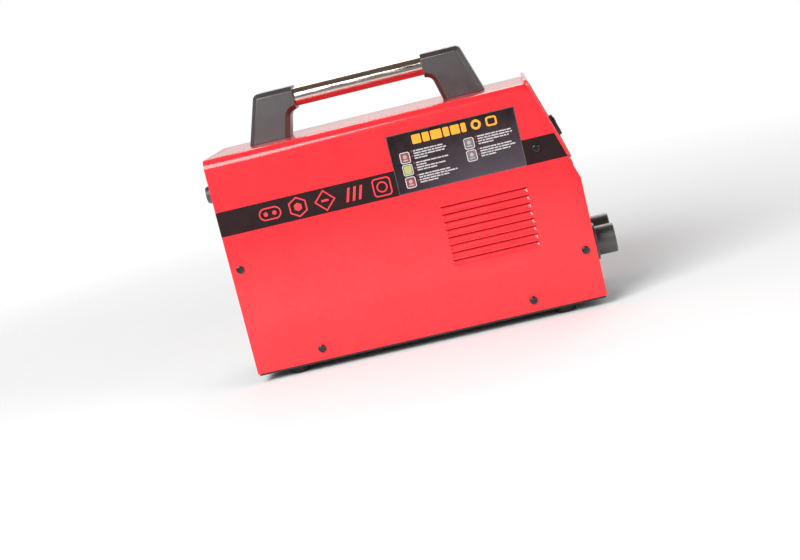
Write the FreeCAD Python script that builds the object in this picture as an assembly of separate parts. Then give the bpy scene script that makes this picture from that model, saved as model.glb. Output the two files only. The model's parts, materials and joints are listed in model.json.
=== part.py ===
import FreeCAD, Part
import math
import os
from FreeCAD import Placement, Rotation, Vector

# Stick welding inverter. Millimetres. +X is the front (controls and sockets), +Y the machine's left side,
# +Z up. The origin is on the surface it stands on, under the middle of its bounding box.

# Driving dimensions: case
REAR_X = -181.0
FRONT_X = 183.0
HALF_W = 72.5
TOP_Z = 235.0
SHEET = 1.2
BEND_R = 10.0
COVER_LOW_Z = 10.0
PANEL_SHEET = 1.5
PANEL_RECESS = 1.5
SKIN_GAP = 0.1
FOOT_H = 8.0
TRAY_TOP_Z = FOOT_H + PANEL_SHEET
TRAY_WALL_Z = 36.0
TRAY_END = 20.0
TRAY_SLOT_X = -44.0
TRAY_SLOT_PITCH = 8.0
TRAY_SLOT_COUNT = 12
TRAY_SLOT_W = 3.6
TRAY_SLOT_HALF_Y = 42.0
END_REACH_X = 205.0

# The front leans back above the knee
SLOPE_TOP_X = 150.0
KNEE_Z = 132.0
LEAN = math.atan2(FRONT_X - SLOPE_TOP_X, TOP_Z - KNEE_Z)

# Front panel: how far its turned-back sides reach, and its air slots
FRONT_FLANGE_X = (136.0, 164.0)
FRONT_FLANGE_Z = (112.0, 145.0)
FRONT_ROOF_FLANGE = 22.0
FRONT_SLOT_Z = 104.0
FRONT_SLOT_PITCH = 7.0
FRONT_SLOT_H = 3.0
FRONT_SLOT_HALF_Y = 40.0
FRONT_SLOT_COUNT = 3

# Side band, information panel and louvres
BAND_Z = (156.0, 181.3)
LABEL_X = (4.0, 134.0)
LABEL_TOP_Z = 216.0
FILM = 0.3
LOUVRE_X = (40.5, 129.5)
LOUVRE_TOP_Z = 135.2
LOUVRE_PITCH = 7.9
LOUVRE_H = 6.2
LOUVRE_DEPTH = 2.8
LOUVRE_COUNT = 8

# Handle
HANDLE_X = -15.0
HANDLE_TOP_Z = 285.0
POST_DEPTH = 33.0
POST_BASE_OUT = 124.5
POST_BASE_IN = 81.2
POST_TOP_OUT = 108.3
POST_COLLAR_X = 68.0
POST_COLLAR_LOW_Z = 261.0
POST_INNER_LEAN = 0.25
POST_THROAT_R = 8.0
POST_SHOULDER_R = 5.0
POST_EDGE = 4.5
TUBE_R = 9.5
TUBE_WALL = 1.2
TUBE_Z = 272.8
TUBE_HALF = 96.0
POST_SCREW_X = (93.0, 112.0)
POST_SCREW_R = 3.0
POST_SCREW_DEPTH = 15.0
POST_WASHER_R = 7.0
POST_WASHER_H = 1.5
POST_SCREW_FLATS = 10.0
POST_SCREW_HEAD_H = 3.5

# Control fascia, measured down the slope from its top edge (t) and out from it (n)
RIM_T = (-3.3, 86.3)
RIM_N = 3.0
RIM_CORNER_R = 8.0
TUB_T = (5.0, 80.0)
TUB_HALF_Y = 64.0
TUB_WALL = 2.0
TUB_FLOOR_N = -6.0
OVERLAY = 0.4
BOSS_R = 3.0
BOSS_T = (10.0, 73.0)
BOSS_Y = 56.0
KNOB_T = 57.0
KNOB_R = 13.5
KNOB_TOP_N = 6.5
KNOB_GAP = 0.4
KNOB_SKIRT_H = 3.0
KNOB_GRIP_R = (12.6, 11.3)
KNOB_FLUTES = 18
KNOB_FLUTE_R = 1.6
KNOB_HOLLOW_R = 7.2
CAP_R = 8.5
CAP_SUNK = 0.6
CAP_PROUD = 0.2
POINTER_T = (-8.0, -2.5)
POINTER_HALF_Y = 0.8
POINTER_H = 0.7
SHAFT_R = 3.0
RUNNING_GAP = 0.05
BUSH_R = 3.5
POT_R = 8.5
POT_DEPTH = 10.0
POT_NUT_FLATS = 11.0
POT_NUT_H = 2.2
WINDOW_T = 22.0
WINDOW_SIZE = (19.0, 46.0)
LENS_Y = 42.0
LENS_R = 2.5
BOARD_N = -24.4

# Output sockets
SOCKET_Y = 35.0
SOCKET_Z = 60.0
SOCKET_BORE_R = 6.5
SOCKET_SEAT_R = 9.5
SOCKET_X = (160.0, 197.0)
SOCKET_BOTTOM_X = 172.0
SOCKET_FLANGE_R = 19.0
SOCKET_FLANGE_H = 4.5
SOCKET_BODY_R = 15.0
SOCKET_INSIDE_R = 14.0
SOCKET_INSIDE_X = 164.0
SOCKET_HOLE_R = 14.3
SOCKET_STUD_R = 5.0
SOCKET_STUD_X = 145.0
SOCKET_NUT_X = (150.0, 157.0)
SOCKET_NUT_FLATS = 17.0
BAR_X = (157.0, 160.0)
BAR_Y = (22.0, 48.0)
BAR_Z = (46.0, 92.0)
BAR_LEG_Z = 76.0
MARK_ABOVE = 28.0
MARK_HALF = 5.0
MARK_BAR_HALF = 1.1
MARK_H = 0.8

# Rear fittings
FAN_Z = 88.0
FAN_SIZE = 120.0
FAN_DEPTH = 25.0
FAN_BORE_R = 58.0
FAN_HUB_R = 20.0
FAN_BOLT = 52.5
FAN_BLADES = 7
FAN_HOLE_R = 57.0
FAN_BOLT_HOLE_R = 2.3
FAN_WEB = 3.5
FAN_SHAFT_R = 1.5
GUARD_RINGS = (14, 24, 34, 44, 54)
GUARD_RING_WIRE_R = 1.0
GUARD_SPOKE_R = 1.2
GUARD_SPOKE_START = 10.0
GUARD_EYE_R = 3.7
GLAND_Y = 32.0
GLAND_Z = 192.0
GLAND_BORE_R = 6.0
GLAND_THREAD_R = 10.5
GLAND_THREAD_END_X = -167.0
GLAND_HOLE_R = 10.8
GLAND_FLATS = 24.0
GLAND_COLLAR_H = 6.0
GLAND_NECK_R = 9.0
GLAND_NECK_H = 15.0
REAR_FLANGE = 16.0
STUD_Y = 58.0
STUD_Z = 164.0
STUD_R = 3.0
STUD_SEAT_R = 2.8
STUD_END_X = -200.0
STUD_NUT_H = 5.0
STUD_WASHER = 1.4
SWITCH_Y = -36.0
SWITCH_Z = 192.0
SWITCH_HOLE_HALF = (11.2, 15.2)
SWITCH_FLANGE_HALF = (13.5, 17.5)
SWITCH_BODY_HALF = (11.0, 15.0)
SWITCH_POCKET_HALF = (9.2, 13.7)
SWITCH_FLANGE_H = 2.5
SWITCH_DEPTH = 24.0
SWITCH_POCKET_DEPTH = 9.0
ROCKER_HALF_Y = 8.8
TRUNNION_R = 1.5
TRUNNION_HALF_Y = 10.4
ROCK_DEG = 10.0

# Feet and screws
FOOT_X = 140.0
FOOT_Y = 52.0
FOOT_R = 11.0
SIDE_SCREWS = ((146.5, 170.7), (172.0, 60.0), (-171.0, 120.0), (110.0, 22.0), (-110.0, 22.0))
SCREW_R = 2.0
SCREW_HEAD_R = 4.0
SCREW_HEAD_H = 2.4
SCREW_HOLE_R = 2.2
SCREW_CROSS = (4.4, 0.9, 1.2)
FOOT_RECESS = 4.5

# Power electronics
SINK_X = (-135.0, 45.0)
SINK_Y = (11.0, 61.0)
SINK_Z = (26.0, 94.0)
SINK_BASE = 8.0
SINK_FIN = 1.6
SINK_FINS = 10
SUPPORT_X = (-125.0, 22.0)
SUPPORT_LENGTH = 14.0
BOARD_Z = 106.0
BOARD_T = 1.6
BOARD_X = (-142.0, 58.0)
BOARD_HALF_Y = 64.0
PACKAGE_X = -118.0
PACKAGE_PITCH = 26.0
PACKAGE_COUNT = 6
PACKAGE_LENGTH = 16.0
PACKAGE_Y = (28.0, 48.0)
PACKAGE_H = 5.0
LEG_W = 1.2
LEG_T = 0.8
LEG_Y = 24.5
STANDOFF_X = (-128.0, -45.0, 38.0)
STANDOFF_Y = 56.0
CAN_X = (-112.0, -70.0, -28.0)
CAN_Y = -38.0
CAN_R = 17.5
CAN_H = 50.0
CORE_X = (70.0, 134.0)
CORE_Y = (-56.0, -16.0)
CORE_H = 60.0
CORE_LIMB = 10.0
CORE_WINDOW = 12.0
CHOKE_AT = (100.0, 37.0)
CHOKE_R = (28.0, 16.0)
CHOKE_Z = (TRAY_TOP_Z + 4, TRAY_TOP_Z + 28)
CHOKE_TURNS = 18
WIRE = 2.8

X_AXIS = Vector(1, 0, 0)
Y_AXIS = Vector(0, 1, 0)
Z_AXIS = Vector(0, 0, 1)


def box(x, y, z):
    """Box from (low, high) pairs."""
    return Part.makeBox(x[1] - x[0], y[1] - y[0], z[1] - z[0], Vector(x[0], y[0], z[0]))


def rod(radius, start, end):
    """Round bar between two points."""
    along = Vector(*end) - Vector(*start)
    return Part.makeCylinder(radius, along.Length, Vector(*start), along)


def pipe(outer, inner, start, end):
    """Round bar with a hole all along it."""
    return rod(outer, start, end).cut(rod(inner, start, end))


def prism(points, plane_y, thickness):
    """Outline of (x, z) points, carried along +Y from plane_y."""
    corners = [Vector(x, plane_y, z) for x, z in points]
    face = Part.Face(Part.makePolygon(corners + corners[:1]))
    return face.extrude(Vector(0, thickness, 0))


def hexagon_x(flats, centre_y, centre_z, x):
    """Hexagonal bar along X, flats across its flats."""
    reach = flats / math.sqrt(3)
    corners = []
    for step in range(6):
        turn = math.radians(60 * step)
        corners.append(Vector(x[0], centre_y + reach * math.cos(turn), centre_z + reach * math.sin(turn)))
    face = Part.Face(Part.makePolygon(corners + corners[:1]))
    return face.extrude(Vector(x[1] - x[0], 0, 0))


def rounded_plate(x, y, z, radius):
    """Box with its four edges along Z rounded."""
    plate = box(x, y, z)
    upright = [e for e in plate.Edges if abs(e.tangentAt(e.FirstParameter).z) > 0.99]
    return plate.makeFillet(radius, upright)


def mirror_y(shape):
    """The same piece on the other side of the machine."""
    return shape.mirror(Vector(0, 0, 0), Y_AXIS)


def both_sides(shape):
    return [shape, mirror_y(shape)]


def fuse_all(shapes):
    joined = shapes[0].multiFuse(shapes[1:]) if len(shapes) > 1 else shapes[0]
    return joined.removeSplitter()


def slope_point(t, n):
    """(x, z) of a point t down the slope and n out from it."""
    x = SLOPE_TOP_X + t * math.sin(LEAN) + n * math.cos(LEAN)
    z = TOP_Z - t * math.cos(LEAN) + n * math.sin(LEAN)
    return x, z


def on_slope(shape):
    """Place a piece drawn with t along X, n along Z and the width along Y."""
    placed = shape.copy()
    turn = Rotation(Y_AXIS, 90.0 - math.degrees(LEAN))
    placed.Placement = Placement(Vector(SLOPE_TOP_X, 0, TOP_Z), turn).multiply(placed.Placement)
    return placed


def case_block(inset, x, low_z):
    """Solid with the case's rounded section, inset all round."""
    half = HALF_W - inset
    top = TOP_Z - inset
    bend = BEND_R - inset
    slant = bend * math.sqrt(0.5)
    x0 = x[0]
    left = Part.LineSegment(Vector(x0, -half, low_z), Vector(x0, -half, top - bend))
    mid_left = Vector(x0, -half + bend - slant, top - bend + slant)
    bend_left = Part.Arc(Vector(x0, -half, top - bend), mid_left, Vector(x0, -half + bend, top))
    roof = Part.LineSegment(Vector(x0, -half + bend, top), Vector(x0, half - bend, top))
    mid_right = Vector(x0, half - bend + slant, top - bend + slant)
    bend_right = Part.Arc(Vector(x0, half - bend, top), mid_right, Vector(x0, half, top - bend))
    right = Part.LineSegment(Vector(x0, half, top - bend), Vector(x0, half, low_z))
    base = Part.LineSegment(Vector(x0, half, low_z), Vector(x0, -half, low_z))
    lines = [left, bend_left, roof, bend_right, right, base]
    section = Part.Face(Part.Wire([line.toShape() for line in lines]))
    return section.extrude(Vector(x[1] - x[0], 0, 0))


def lean_cutter(n):
    """Everything in front of the leaning plane at offset n."""
    high = slope_point(-20.0, n)
    low = slope_point(140.0, n)
    outline = [high, low, (low[0] + 60, low[1]), (low[0] + 60, high[1])]
    return prism(outline, -HALF_W - 10, 2 * HALF_W + 20)


def pan_screw(head_at, axis, shank):
    """Cross-recess pan-head screw: head seated at head_at, shank the other way from axis."""
    head = Part.makeCylinder(SCREW_HEAD_R, SCREW_HEAD_H)
    rim = [e for e in head.Edges if e.BoundBox.ZMin > SCREW_HEAD_H - 0.01]
    head = head.makeFillet(1.1, rim)
    body = head.fuse(Part.makeCylinder(SCREW_R, shank, Vector(0, 0, -shank)))
    length, width, depth = SCREW_CROSS
    height = (SCREW_HEAD_H - depth, SCREW_HEAD_H + 1)
    blade = box((-length / 2, length / 2), (-width / 2, width / 2), height)
    cross = box((-width / 2, width / 2), (-length / 2, length / 2), height)
    screw = body.cut(blade).cut(cross).removeSplitter()
    screw.Placement = Placement(Vector(*head_at), Rotation(Z_AXIS, Vector(*axis)))
    return screw


# Case

def louvre_cut(top_z):
    return box(LOUVRE_X, (-HALF_W - 1, -HALF_W + SHEET + 1), (top_z - LOUVRE_H, top_z))


def louvre_blade(top_z):
    """Blade pressed inwards: joined to the sheet along its lower edge and at both ends."""
    low_z = top_z - LOUVRE_H
    outer = -HALF_W
    section = [(outer, low_z), (outer + SHEET, low_z), (outer + SHEET + LOUVRE_DEPTH, top_z),
               (outer + LOUVRE_DEPTH, top_z)]
    corners = [Vector(LOUVRE_X[0], y, z) for y, z in section]
    face = Part.Face(Part.makePolygon(corners + corners[:1]))
    blade = face.extrude(Vector(LOUVRE_X[1] - LOUVRE_X[0], 0, 0))
    end_section = section[:3] + [(outer, top_z)]
    pieces = [blade]
    for x in (LOUVRE_X[0], LOUVRE_X[1] - SHEET):
        corners = [Vector(x, y, z) for y, z in end_section]
        face = Part.Face(Part.makePolygon(corners + corners[:1]))
        pieces.append(face.extrude(Vector(SHEET, 0, 0)))
    return fuse_all(pieces)


def cover():
    ends = (REAR_X, FRONT_X)
    shell = case_block(0, ends, COVER_LOW_Z)
    hollow = case_block(SHEET, (REAR_X - 1, FRONT_X + 1), COVER_LOW_Z - 1)
    shell = shell.cut(hollow).cut(lean_cutter(0))
    cuts = []
    blades = []
    for row in range(LOUVRE_COUNT):
        top_z = LOUVRE_TOP_Z - row * LOUVRE_PITCH
        cuts += both_sides(louvre_cut(top_z))
        blades += both_sides(louvre_blade(top_z))
    for x, z in SIDE_SCREWS:
        cuts.append(rod(SCREW_HOLE_R, (x, -HALF_W - 1, z), (x, HALF_W + 1, z)))
    for x in handle_screw_places():
        cuts.append(rod(POST_SCREW_R + 0.2, (x, 0, TOP_Z - 5), (x, 0, TOP_Z + 1)))
    shell = shell.cut(Part.makeCompound(cuts))
    return fuse_all([shell] + blades)


def base_tray():
    half = HALF_W - SHEET - SKIN_GAP
    ends = (REAR_X + PANEL_RECESS, FRONT_X - PANEL_RECESS)
    tray = box(ends, (-half, half), (FOOT_H, TRAY_WALL_Z))
    above = (TRAY_TOP_Z, TRAY_WALL_Z + 1)
    tray = tray.cut(box((ends[0] - 1, ends[1] + 1), (-half + PANEL_SHEET, half - PANEL_SHEET), above))
    for x in ((ends[0] - 1, ends[0] + TRAY_END), (ends[1] - TRAY_END, ends[1] + 1)):
        tray = tray.cut(box(x, (-half - 1, half + 1), above))
    cuts = []
    for column in range(TRAY_SLOT_COUNT):
        x = TRAY_SLOT_X + TRAY_SLOT_PITCH * column
        y = (-TRAY_SLOT_HALF_Y, TRAY_SLOT_HALF_Y)
        cuts.append(rounded_plate((x, x + TRAY_SLOT_W), y, (FOOT_H - 1, TRAY_TOP_Z + 1), 1.7))
    for x, y in foot_places():
        cuts.append(rod(SCREW_HOLE_R, (x, y, FOOT_H - 1), (x, y, TRAY_TOP_Z + 1)))
    for x, z in SIDE_SCREWS[3:]:
        cuts.append(rod(SCREW_HOLE_R, (x, -HALF_W, z), (x, HALF_W, z)))
    return tray.cut(Part.makeCompound(cuts)).removeSplitter()


def front_panel():
    """Sheet panel with turned-back sides and top, leaning above the knee."""
    edge = SHEET + SKIN_GAP
    low_z = TRAY_TOP_Z + SKIN_GAP
    face_x = FRONT_X - PANEL_RECESS
    rear_x, low_rear_x = FRONT_FLANGE_X
    block = case_block(edge, (rear_x, face_x), low_z).cut(lean_cutter(-PANEL_RECESS))
    behind = rear_x - 6
    hollow = case_block(edge + PANEL_SHEET, (behind, face_x - PANEL_SHEET), low_z + PANEL_SHEET)
    hollow = hollow.cut(lean_cutter(-PANEL_RECESS - PANEL_SHEET))
    panel = block.cut(hollow)
    roof_rear_x = SLOPE_TOP_X - FRONT_ROOF_FLANGE
    waste = [(behind, 0), (low_rear_x, 0), (low_rear_x, FRONT_FLANGE_Z[0]), (rear_x, FRONT_FLANGE_Z[1]),
             (rear_x, 200), (roof_rear_x, TOP_Z + 1), (behind, TOP_Z + 1)]
    panel = panel.cut(prism(waste, -HALF_W, 2 * HALF_W))
    margin = TUB_WALL + 0.5
    tub = box((TUB_T[0] - margin, TUB_T[1] + margin), (-TUB_HALF_Y - margin, TUB_HALF_Y + margin), (-12, 4))
    cuts = [on_slope(tub)]
    for y in (-SOCKET_Y, SOCKET_Y):
        cuts.append(rod(SOCKET_HOLE_R, (face_x - 10, y, SOCKET_Z), (face_x + 1, y, SOCKET_Z)))
    for row in range(FRONT_SLOT_COUNT):
        z = FRONT_SLOT_Z + FRONT_SLOT_PITCH * row
        y = (-FRONT_SLOT_HALF_Y, FRONT_SLOT_HALF_Y)
        cuts.append(box((face_x - 3, face_x + 1), y, (z, z + FRONT_SLOT_H)))
    for x, z in SIDE_SCREWS[:2]:
        cuts.append(rod(SCREW_HOLE_R, (x, -HALF_W, z), (x, HALF_W, z)))
    return panel.cut(Part.makeCompound(cuts)).removeSplitter()


def rear_panel():
    edge = SHEET + SKIN_GAP
    low_z = TRAY_TOP_Z + SKIN_GAP
    face_x = REAR_X + PANEL_RECESS
    block = case_block(edge, (face_x, face_x + REAR_FLANGE), low_z)
    hollow_x = (face_x + PANEL_SHEET, face_x + REAR_FLANGE + 1)
    hollow = case_block(edge + PANEL_SHEET, hollow_x, low_z + PANEL_SHEET)
    panel = block.cut(hollow)
    through = (face_x - 1, face_x + 5)
    cuts = [rod(FAN_HOLE_R, (through[0], 0, FAN_Z), (through[1], 0, FAN_Z))]
    for y, z in fan_bolt_places():
        cuts.append(rod(FAN_BOLT_HOLE_R, (through[0], y, z), (through[1], y, z)))
    cuts.append(rod(GLAND_HOLE_R, (through[0], GLAND_Y, GLAND_Z), (through[1], GLAND_Y, GLAND_Z)))
    cuts.append(rod(STUD_R + 0.2, (through[0], STUD_Y, STUD_Z), (through[1], STUD_Y, STUD_Z)))
    half_y, half_z = SWITCH_HOLE_HALF
    cuts.append(box(through, (SWITCH_Y - half_y, SWITCH_Y + half_y), (SWITCH_Z - half_z, SWITCH_Z + half_z)))
    x, z = SIDE_SCREWS[2]
    cuts.append(rod(SCREW_HOLE_R, (x, -HALF_W, z), (x, HALF_W, z)))
    return panel.cut(Part.makeCompound(cuts)).removeSplitter()


def cover_screws():
    screws = []
    for x, z in SIDE_SCREWS:
        on_band = BAND_Z[0] < z < BAND_Z[1]
        seat = HALF_W + (FILM if on_band else 0.0)
        for side in (-1, 1):
            screws.append(pan_screw((x, side * seat, z), (0, side, 0), 8.0))
    return Part.makeCompound(screws)


def film(points):
    """Thin printed film on both sides of the case."""
    sheet = prism(points, -HALF_W - FILM, FILM)
    x, z = SIDE_SCREWS[0]
    sheet = sheet.cut(rod(SCREW_HOLE_R, (x, -HALF_W - 2, z), (x, -HALF_W + 2, z)))
    return both_sides(sheet)


def lean_x(z):
    """Where the leaning edge of the side is at height z."""
    return SLOPE_TOP_X + (TOP_Z - z) * math.tan(LEAN)


def side_bands():
    low, high = BAND_Z
    rear = [(REAR_X, low), (LABEL_X[0], low), (LABEL_X[0], high), (REAR_X, high)]
    front = [(LABEL_X[1], low), (lean_x(low) - 0.3, low), (lean_x(high) - 0.3, high), (LABEL_X[1], high)]
    return Part.makeCompound(film(rear) + film(front))


def info_panels():
    rear, front = LABEL_X
    low, high = BAND_Z[0], LABEL_TOP_Z
    return Part.makeCompound(film([(rear, low), (front, low), (front, high), (rear, high)]))


def foot_places():
    return [(x, y) for x in (-FOOT_X, FOOT_X) for y in (-FOOT_Y, FOOT_Y)]


def feet():
    pads = []
    for x, y in foot_places():
        pad = Part.makeCone(FOOT_R - 1.5, FOOT_R, FOOT_H, Vector(x, y, 0))
        pad = pad.cut(rod(SCREW_HEAD_R + 0.6, (x, y, -1), (x, y, FOOT_RECESS)))
        pads.append(pad.cut(rod(SCREW_R + 0.1, (x, y, 0), (x, y, FOOT_H + 1))))
    return Part.makeCompound(pads)


def foot_screws():
    return Part.makeCompound([pan_screw((x, y, FOOT_RECESS), (0, 0, -1), 9.0) for x, y in foot_places()])


# Handle

def handle_screw_places():
    return [HANDLE_X + side * reach for side in (-1, 1) for reach in POST_SCREW_X]


def handle_post(side):
    """Moulded post: leaning outline with a collar that takes the tube, chamfered round both faces."""
    inner_top_x = POST_BASE_IN - (POST_COLLAR_LOW_Z - TOP_Z) * POST_INNER_LEAN
    outline = [(POST_BASE_IN, TOP_Z), (POST_BASE_OUT, TOP_Z), (POST_TOP_OUT, HANDLE_TOP_Z),
               (POST_COLLAR_X, HANDLE_TOP_Z), (POST_COLLAR_X, POST_COLLAR_LOW_Z),
               (inner_top_x, POST_COLLAR_LOW_Z)]
    corners = [(HANDLE_X + side * x, z) for x, z in outline]
    post = prism(corners, -POST_DEPTH / 2, POST_DEPTH)
    post = post.makeFillet(POST_THROAT_R, [e for e in post.Edges if along_y(e) and near_xz(e, corners[5])])
    post = post.makeFillet(POST_SHOULDER_R, [e for e in post.Edges if along_y(e) and near_xz(e, corners[2])])
    rims = [e for e in post.Edges if on_post_rim(e)]
    post = post.makeChamfer(POST_EDGE, rims)
    bore = rod(TUBE_R + 0.05, (HANDLE_X, 0, TUBE_Z), (HANDLE_X + side * (TUBE_HALF + 0.5), 0, TUBE_Z))
    post = post.cut(bore)
    for reach in POST_SCREW_X:
        x = HANDLE_X + side * reach
        post = post.cut(rod(POST_SCREW_R - 0.2, (x, 0, TOP_Z - 1), (x, 0, TOP_Z + POST_SCREW_DEPTH + 1.5)))
    return post


def along_y(edge):
    return abs(edge.tangentAt(edge.FirstParameter).y) > 0.99


def near_xz(edge, corner):
    centre = edge.BoundBox.Center
    return abs(centre.x - corner[0]) < 0.1 and abs(centre.z - corner[1]) < 0.1


def on_post_rim(edge):
    """An edge round a flat face of the post, apart from the foot and the collar's end face."""
    limits = edge.BoundBox
    on_face = limits.YMax - limits.YMin < 0.01 and abs(abs(limits.YMax) - POST_DEPTH / 2) < 0.01
    at_foot = limits.ZMax < TOP_Z + 0.01
    at_collar_end = limits.XMax - limits.XMin < 0.01 and limits.ZMin > POST_COLLAR_LOW_Z - 0.1
    return on_face and not at_foot and not at_collar_end


def handle_tube():
    ends = ((HANDLE_X - TUBE_HALF, 0, TUBE_Z), (HANDLE_X + TUBE_HALF, 0, TUBE_Z))
    return pipe(TUBE_R, TUBE_R - TUBE_WALL, *ends)


def handle_screws():
    head_z = TOP_Z - SHEET - POST_WASHER_H
    screws = []
    for x in handle_screw_places():
        head = hexagon_z(POST_SCREW_FLATS, x, 0, (head_z - POST_SCREW_HEAD_H, head_z))
        washer = rod(POST_WASHER_R, (x, 0, head_z), (x, 0, TOP_Z - SHEET))
        shank = rod(POST_SCREW_R - 0.2, (x, 0, head_z - 0.5), (x, 0, TOP_Z + POST_SCREW_DEPTH))
        screws.append(fuse_all([head, washer, shank]))
    return Part.makeCompound(screws)


def hexagon_z(flats, centre_x, centre_y, z):
    reach = flats / math.sqrt(3)
    corners = []
    for step in range(6):
        turn = math.radians(60 * step)
        corners.append(Vector(centre_x + reach * math.cos(turn), centre_y + reach * math.sin(turn), z[0]))
    face = Part.Face(Part.makePolygon(corners + corners[:1]))
    return face.extrude(Vector(0, 0, z[1] - z[0]))


# Controls, drawn in the slope's own frame and then placed

def control_fascia():
    """Moulded frame: proud rim round a sunk tub that carries the controls."""
    rim = rounded_plate(RIM_T, (-HALF_W, HALF_W), (0, RIM_N), RIM_CORNER_R)
    top_edges = [e for e in rim.Edges if e.BoundBox.ZMin > RIM_N - 0.01]
    rim = rim.makeFillet(1.0, top_edges)
    outer_t = (TUB_T[0] - TUB_WALL, TUB_T[1] + TUB_WALL)
    outer_y = (-TUB_HALF_Y - TUB_WALL, TUB_HALF_Y + TUB_WALL)
    tub = rounded_plate(outer_t, outer_y, (TUB_FLOOR_N - TUB_WALL, 1), 6.0)
    body = fuse_all([rim, tub])
    body = body.cut(rounded_plate(TUB_T, (-TUB_HALF_Y, TUB_HALF_Y), (TUB_FLOOR_N, RIM_N + 1), 4.0))
    bosses = []
    for t in BOSS_T:
        for y in (-BOSS_Y, BOSS_Y):
            bosses.append(rod(BOSS_R, (t, y, BOARD_N), (t, y, TUB_FLOOR_N - 1)))
    body = fuse_all([body] + bosses)
    floor = (TUB_FLOOR_N - TUB_WALL - 1, TUB_FLOOR_N + 1)
    half_t, half_y = WINDOW_SIZE[0] / 2, WINDOW_SIZE[1] / 2
    cuts = [rod(BUSH_R + 0.2, (KNOB_T, 0, floor[0]), (KNOB_T, 0, floor[1]))]
    cuts.append(box((WINDOW_T - half_t, WINDOW_T + half_t), (-half_y, half_y), floor))
    for y in (-LENS_Y, LENS_Y):
        cuts.append(rod(LENS_R + 0.1, (WINDOW_T, y, floor[0]), (WINDOW_T, y, floor[1])))
    return on_slope(body.cut(Part.makeCompound(cuts)).removeSplitter())


def fascia_overlay():
    t = (TUB_T[0] + 0.5, TUB_T[1] - 0.5)
    y = TUB_HALF_Y - 0.5
    sheet = rounded_plate(t, (-y, y), (TUB_FLOOR_N, TUB_FLOOR_N + OVERLAY), 3.5)
    through = (TUB_FLOOR_N - 1, TUB_FLOOR_N + 1)
    half_t, half_y = WINDOW_SIZE[0] / 2, WINDOW_SIZE[1] / 2
    cuts = [rod(BUSH_R + 0.2, (KNOB_T, 0, through[0]), (KNOB_T, 0, through[1]))]
    cuts.append(box((WINDOW_T - half_t, WINDOW_T + half_t), (-half_y, half_y), through))
    for y in (-LENS_Y, LENS_Y):
        cuts.append(rod(LENS_R + 0.1, (WINDOW_T, y, through[0]), (WINDOW_T, y, through[1])))
    return on_slope(sheet.cut(Part.makeCompound(cuts)))


def display_window():
    half_t, half_y = WINDOW_SIZE[0] / 2 - 0.1, WINDOW_SIZE[1] / 2 - 0.1
    depth = (TUB_FLOOR_N - TUB_WALL, TUB_FLOOR_N + OVERLAY + 0.5)
    pane = rounded_plate((WINDOW_T - half_t, WINDOW_T + half_t), (-half_y, half_y), depth, 1.0)
    edges = [e for e in pane.Edges if e.BoundBox.ZMin > depth[1] - 0.01]
    return on_slope(pane.makeFillet(0.4, edges))


def display_module():
    half_t, half_y = WINDOW_SIZE[0] / 2 - 0.5, WINDOW_SIZE[1] / 2 - 2
    depth = (BOARD_N, TUB_FLOOR_N - TUB_WALL - 0.1)
    return on_slope(box((WINDOW_T - half_t, WINDOW_T + half_t), (-half_y, half_y), depth))


def indicator(y):
    """Round-nosed indicator lens."""
    nose_n = TUB_FLOOR_N + 1.4
    stem = rod(LENS_R, (WINDOW_T, y, TUB_FLOOR_N - TUB_WALL - 2), (WINDOW_T, y, nose_n))
    nose = Part.makeSphere(LENS_R, Vector(WINDOW_T, y, nose_n))
    return on_slope(fuse_all([stem, nose]))


def pot_body():
    seat_n = TUB_FLOOR_N - TUB_WALL
    can = rod(POT_R, (KNOB_T, 0, seat_n - POT_DEPTH), (KNOB_T, 0, seat_n))
    bush = rod(BUSH_R, (KNOB_T, 0, seat_n - 1), (KNOB_T, 0, TUB_FLOOR_N + 3.4))
    tag = box((KNOB_T + 6, KNOB_T + 12), (-6, 6), (seat_n - 6, seat_n - 4.4))
    body = fuse_all([can, bush, tag])
    return on_slope(body.cut(rod(SHAFT_R + RUNNING_GAP, (KNOB_T, 0, seat_n - 8), (KNOB_T, 0, 5))))


def pot_shaft():
    return on_slope(rod(SHAFT_R, (KNOB_T, 0, TUB_FLOOR_N - TUB_WALL - 7.6), (KNOB_T, 0, KNOB_TOP_N - 2.5)))


def pot_nut():
    low_n = TUB_FLOOR_N + OVERLAY
    nut = hexagon_z(POT_NUT_FLATS, KNOB_T, 0, (low_n, low_n + POT_NUT_H))
    return on_slope(nut.cut(rod(BUSH_R, (KNOB_T, 0, low_n - 1), (KNOB_T, 0, low_n + 3))))


def current_knob():
    """Fluted knob, hollow underneath to clear the nut."""
    low_n = TUB_FLOOR_N + OVERLAY + KNOB_GAP
    grip_n = low_n + KNOB_SKIRT_H
    skirt = rod(KNOB_R, (KNOB_T, 0, low_n), (KNOB_T, 0, grip_n))
    grip = Part.makeCone(*KNOB_GRIP_R, KNOB_TOP_N - grip_n, Vector(KNOB_T, 0, grip_n))
    top_edge = [e for e in grip.Edges if e.BoundBox.ZMin > KNOB_TOP_N - 0.01]
    grip = grip.makeFillet(0.8, top_edge)
    knob = skirt.fuse(grip)
    flutes = []
    for step in range(KNOB_FLUTES):
        turn = 2 * math.pi * (step + 0.5) / KNOB_FLUTES
        reach = KNOB_R + 0.2
        at = (KNOB_T + reach * math.cos(turn), reach * math.sin(turn))
        flutes.append(rod(KNOB_FLUTE_R, (at[0], at[1], grip_n + 0.6), (at[0], at[1], KNOB_TOP_N + 1)))
    flutes.append(rod(KNOB_HOLLOW_R, (KNOB_T, 0, low_n - 1), (KNOB_T, 0, TUB_FLOOR_N + 4.2)))
    flutes.append(rod(SHAFT_R, (KNOB_T, 0, low_n), (KNOB_T, 0, KNOB_TOP_N - 2.5)))
    flutes.append(rod(CAP_R + 0.1, (KNOB_T, 0, KNOB_TOP_N - CAP_SUNK), (KNOB_T, 0, KNOB_TOP_N + 1)))
    return on_slope(knob.cut(Part.makeCompound(flutes)).removeSplitter())


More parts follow.
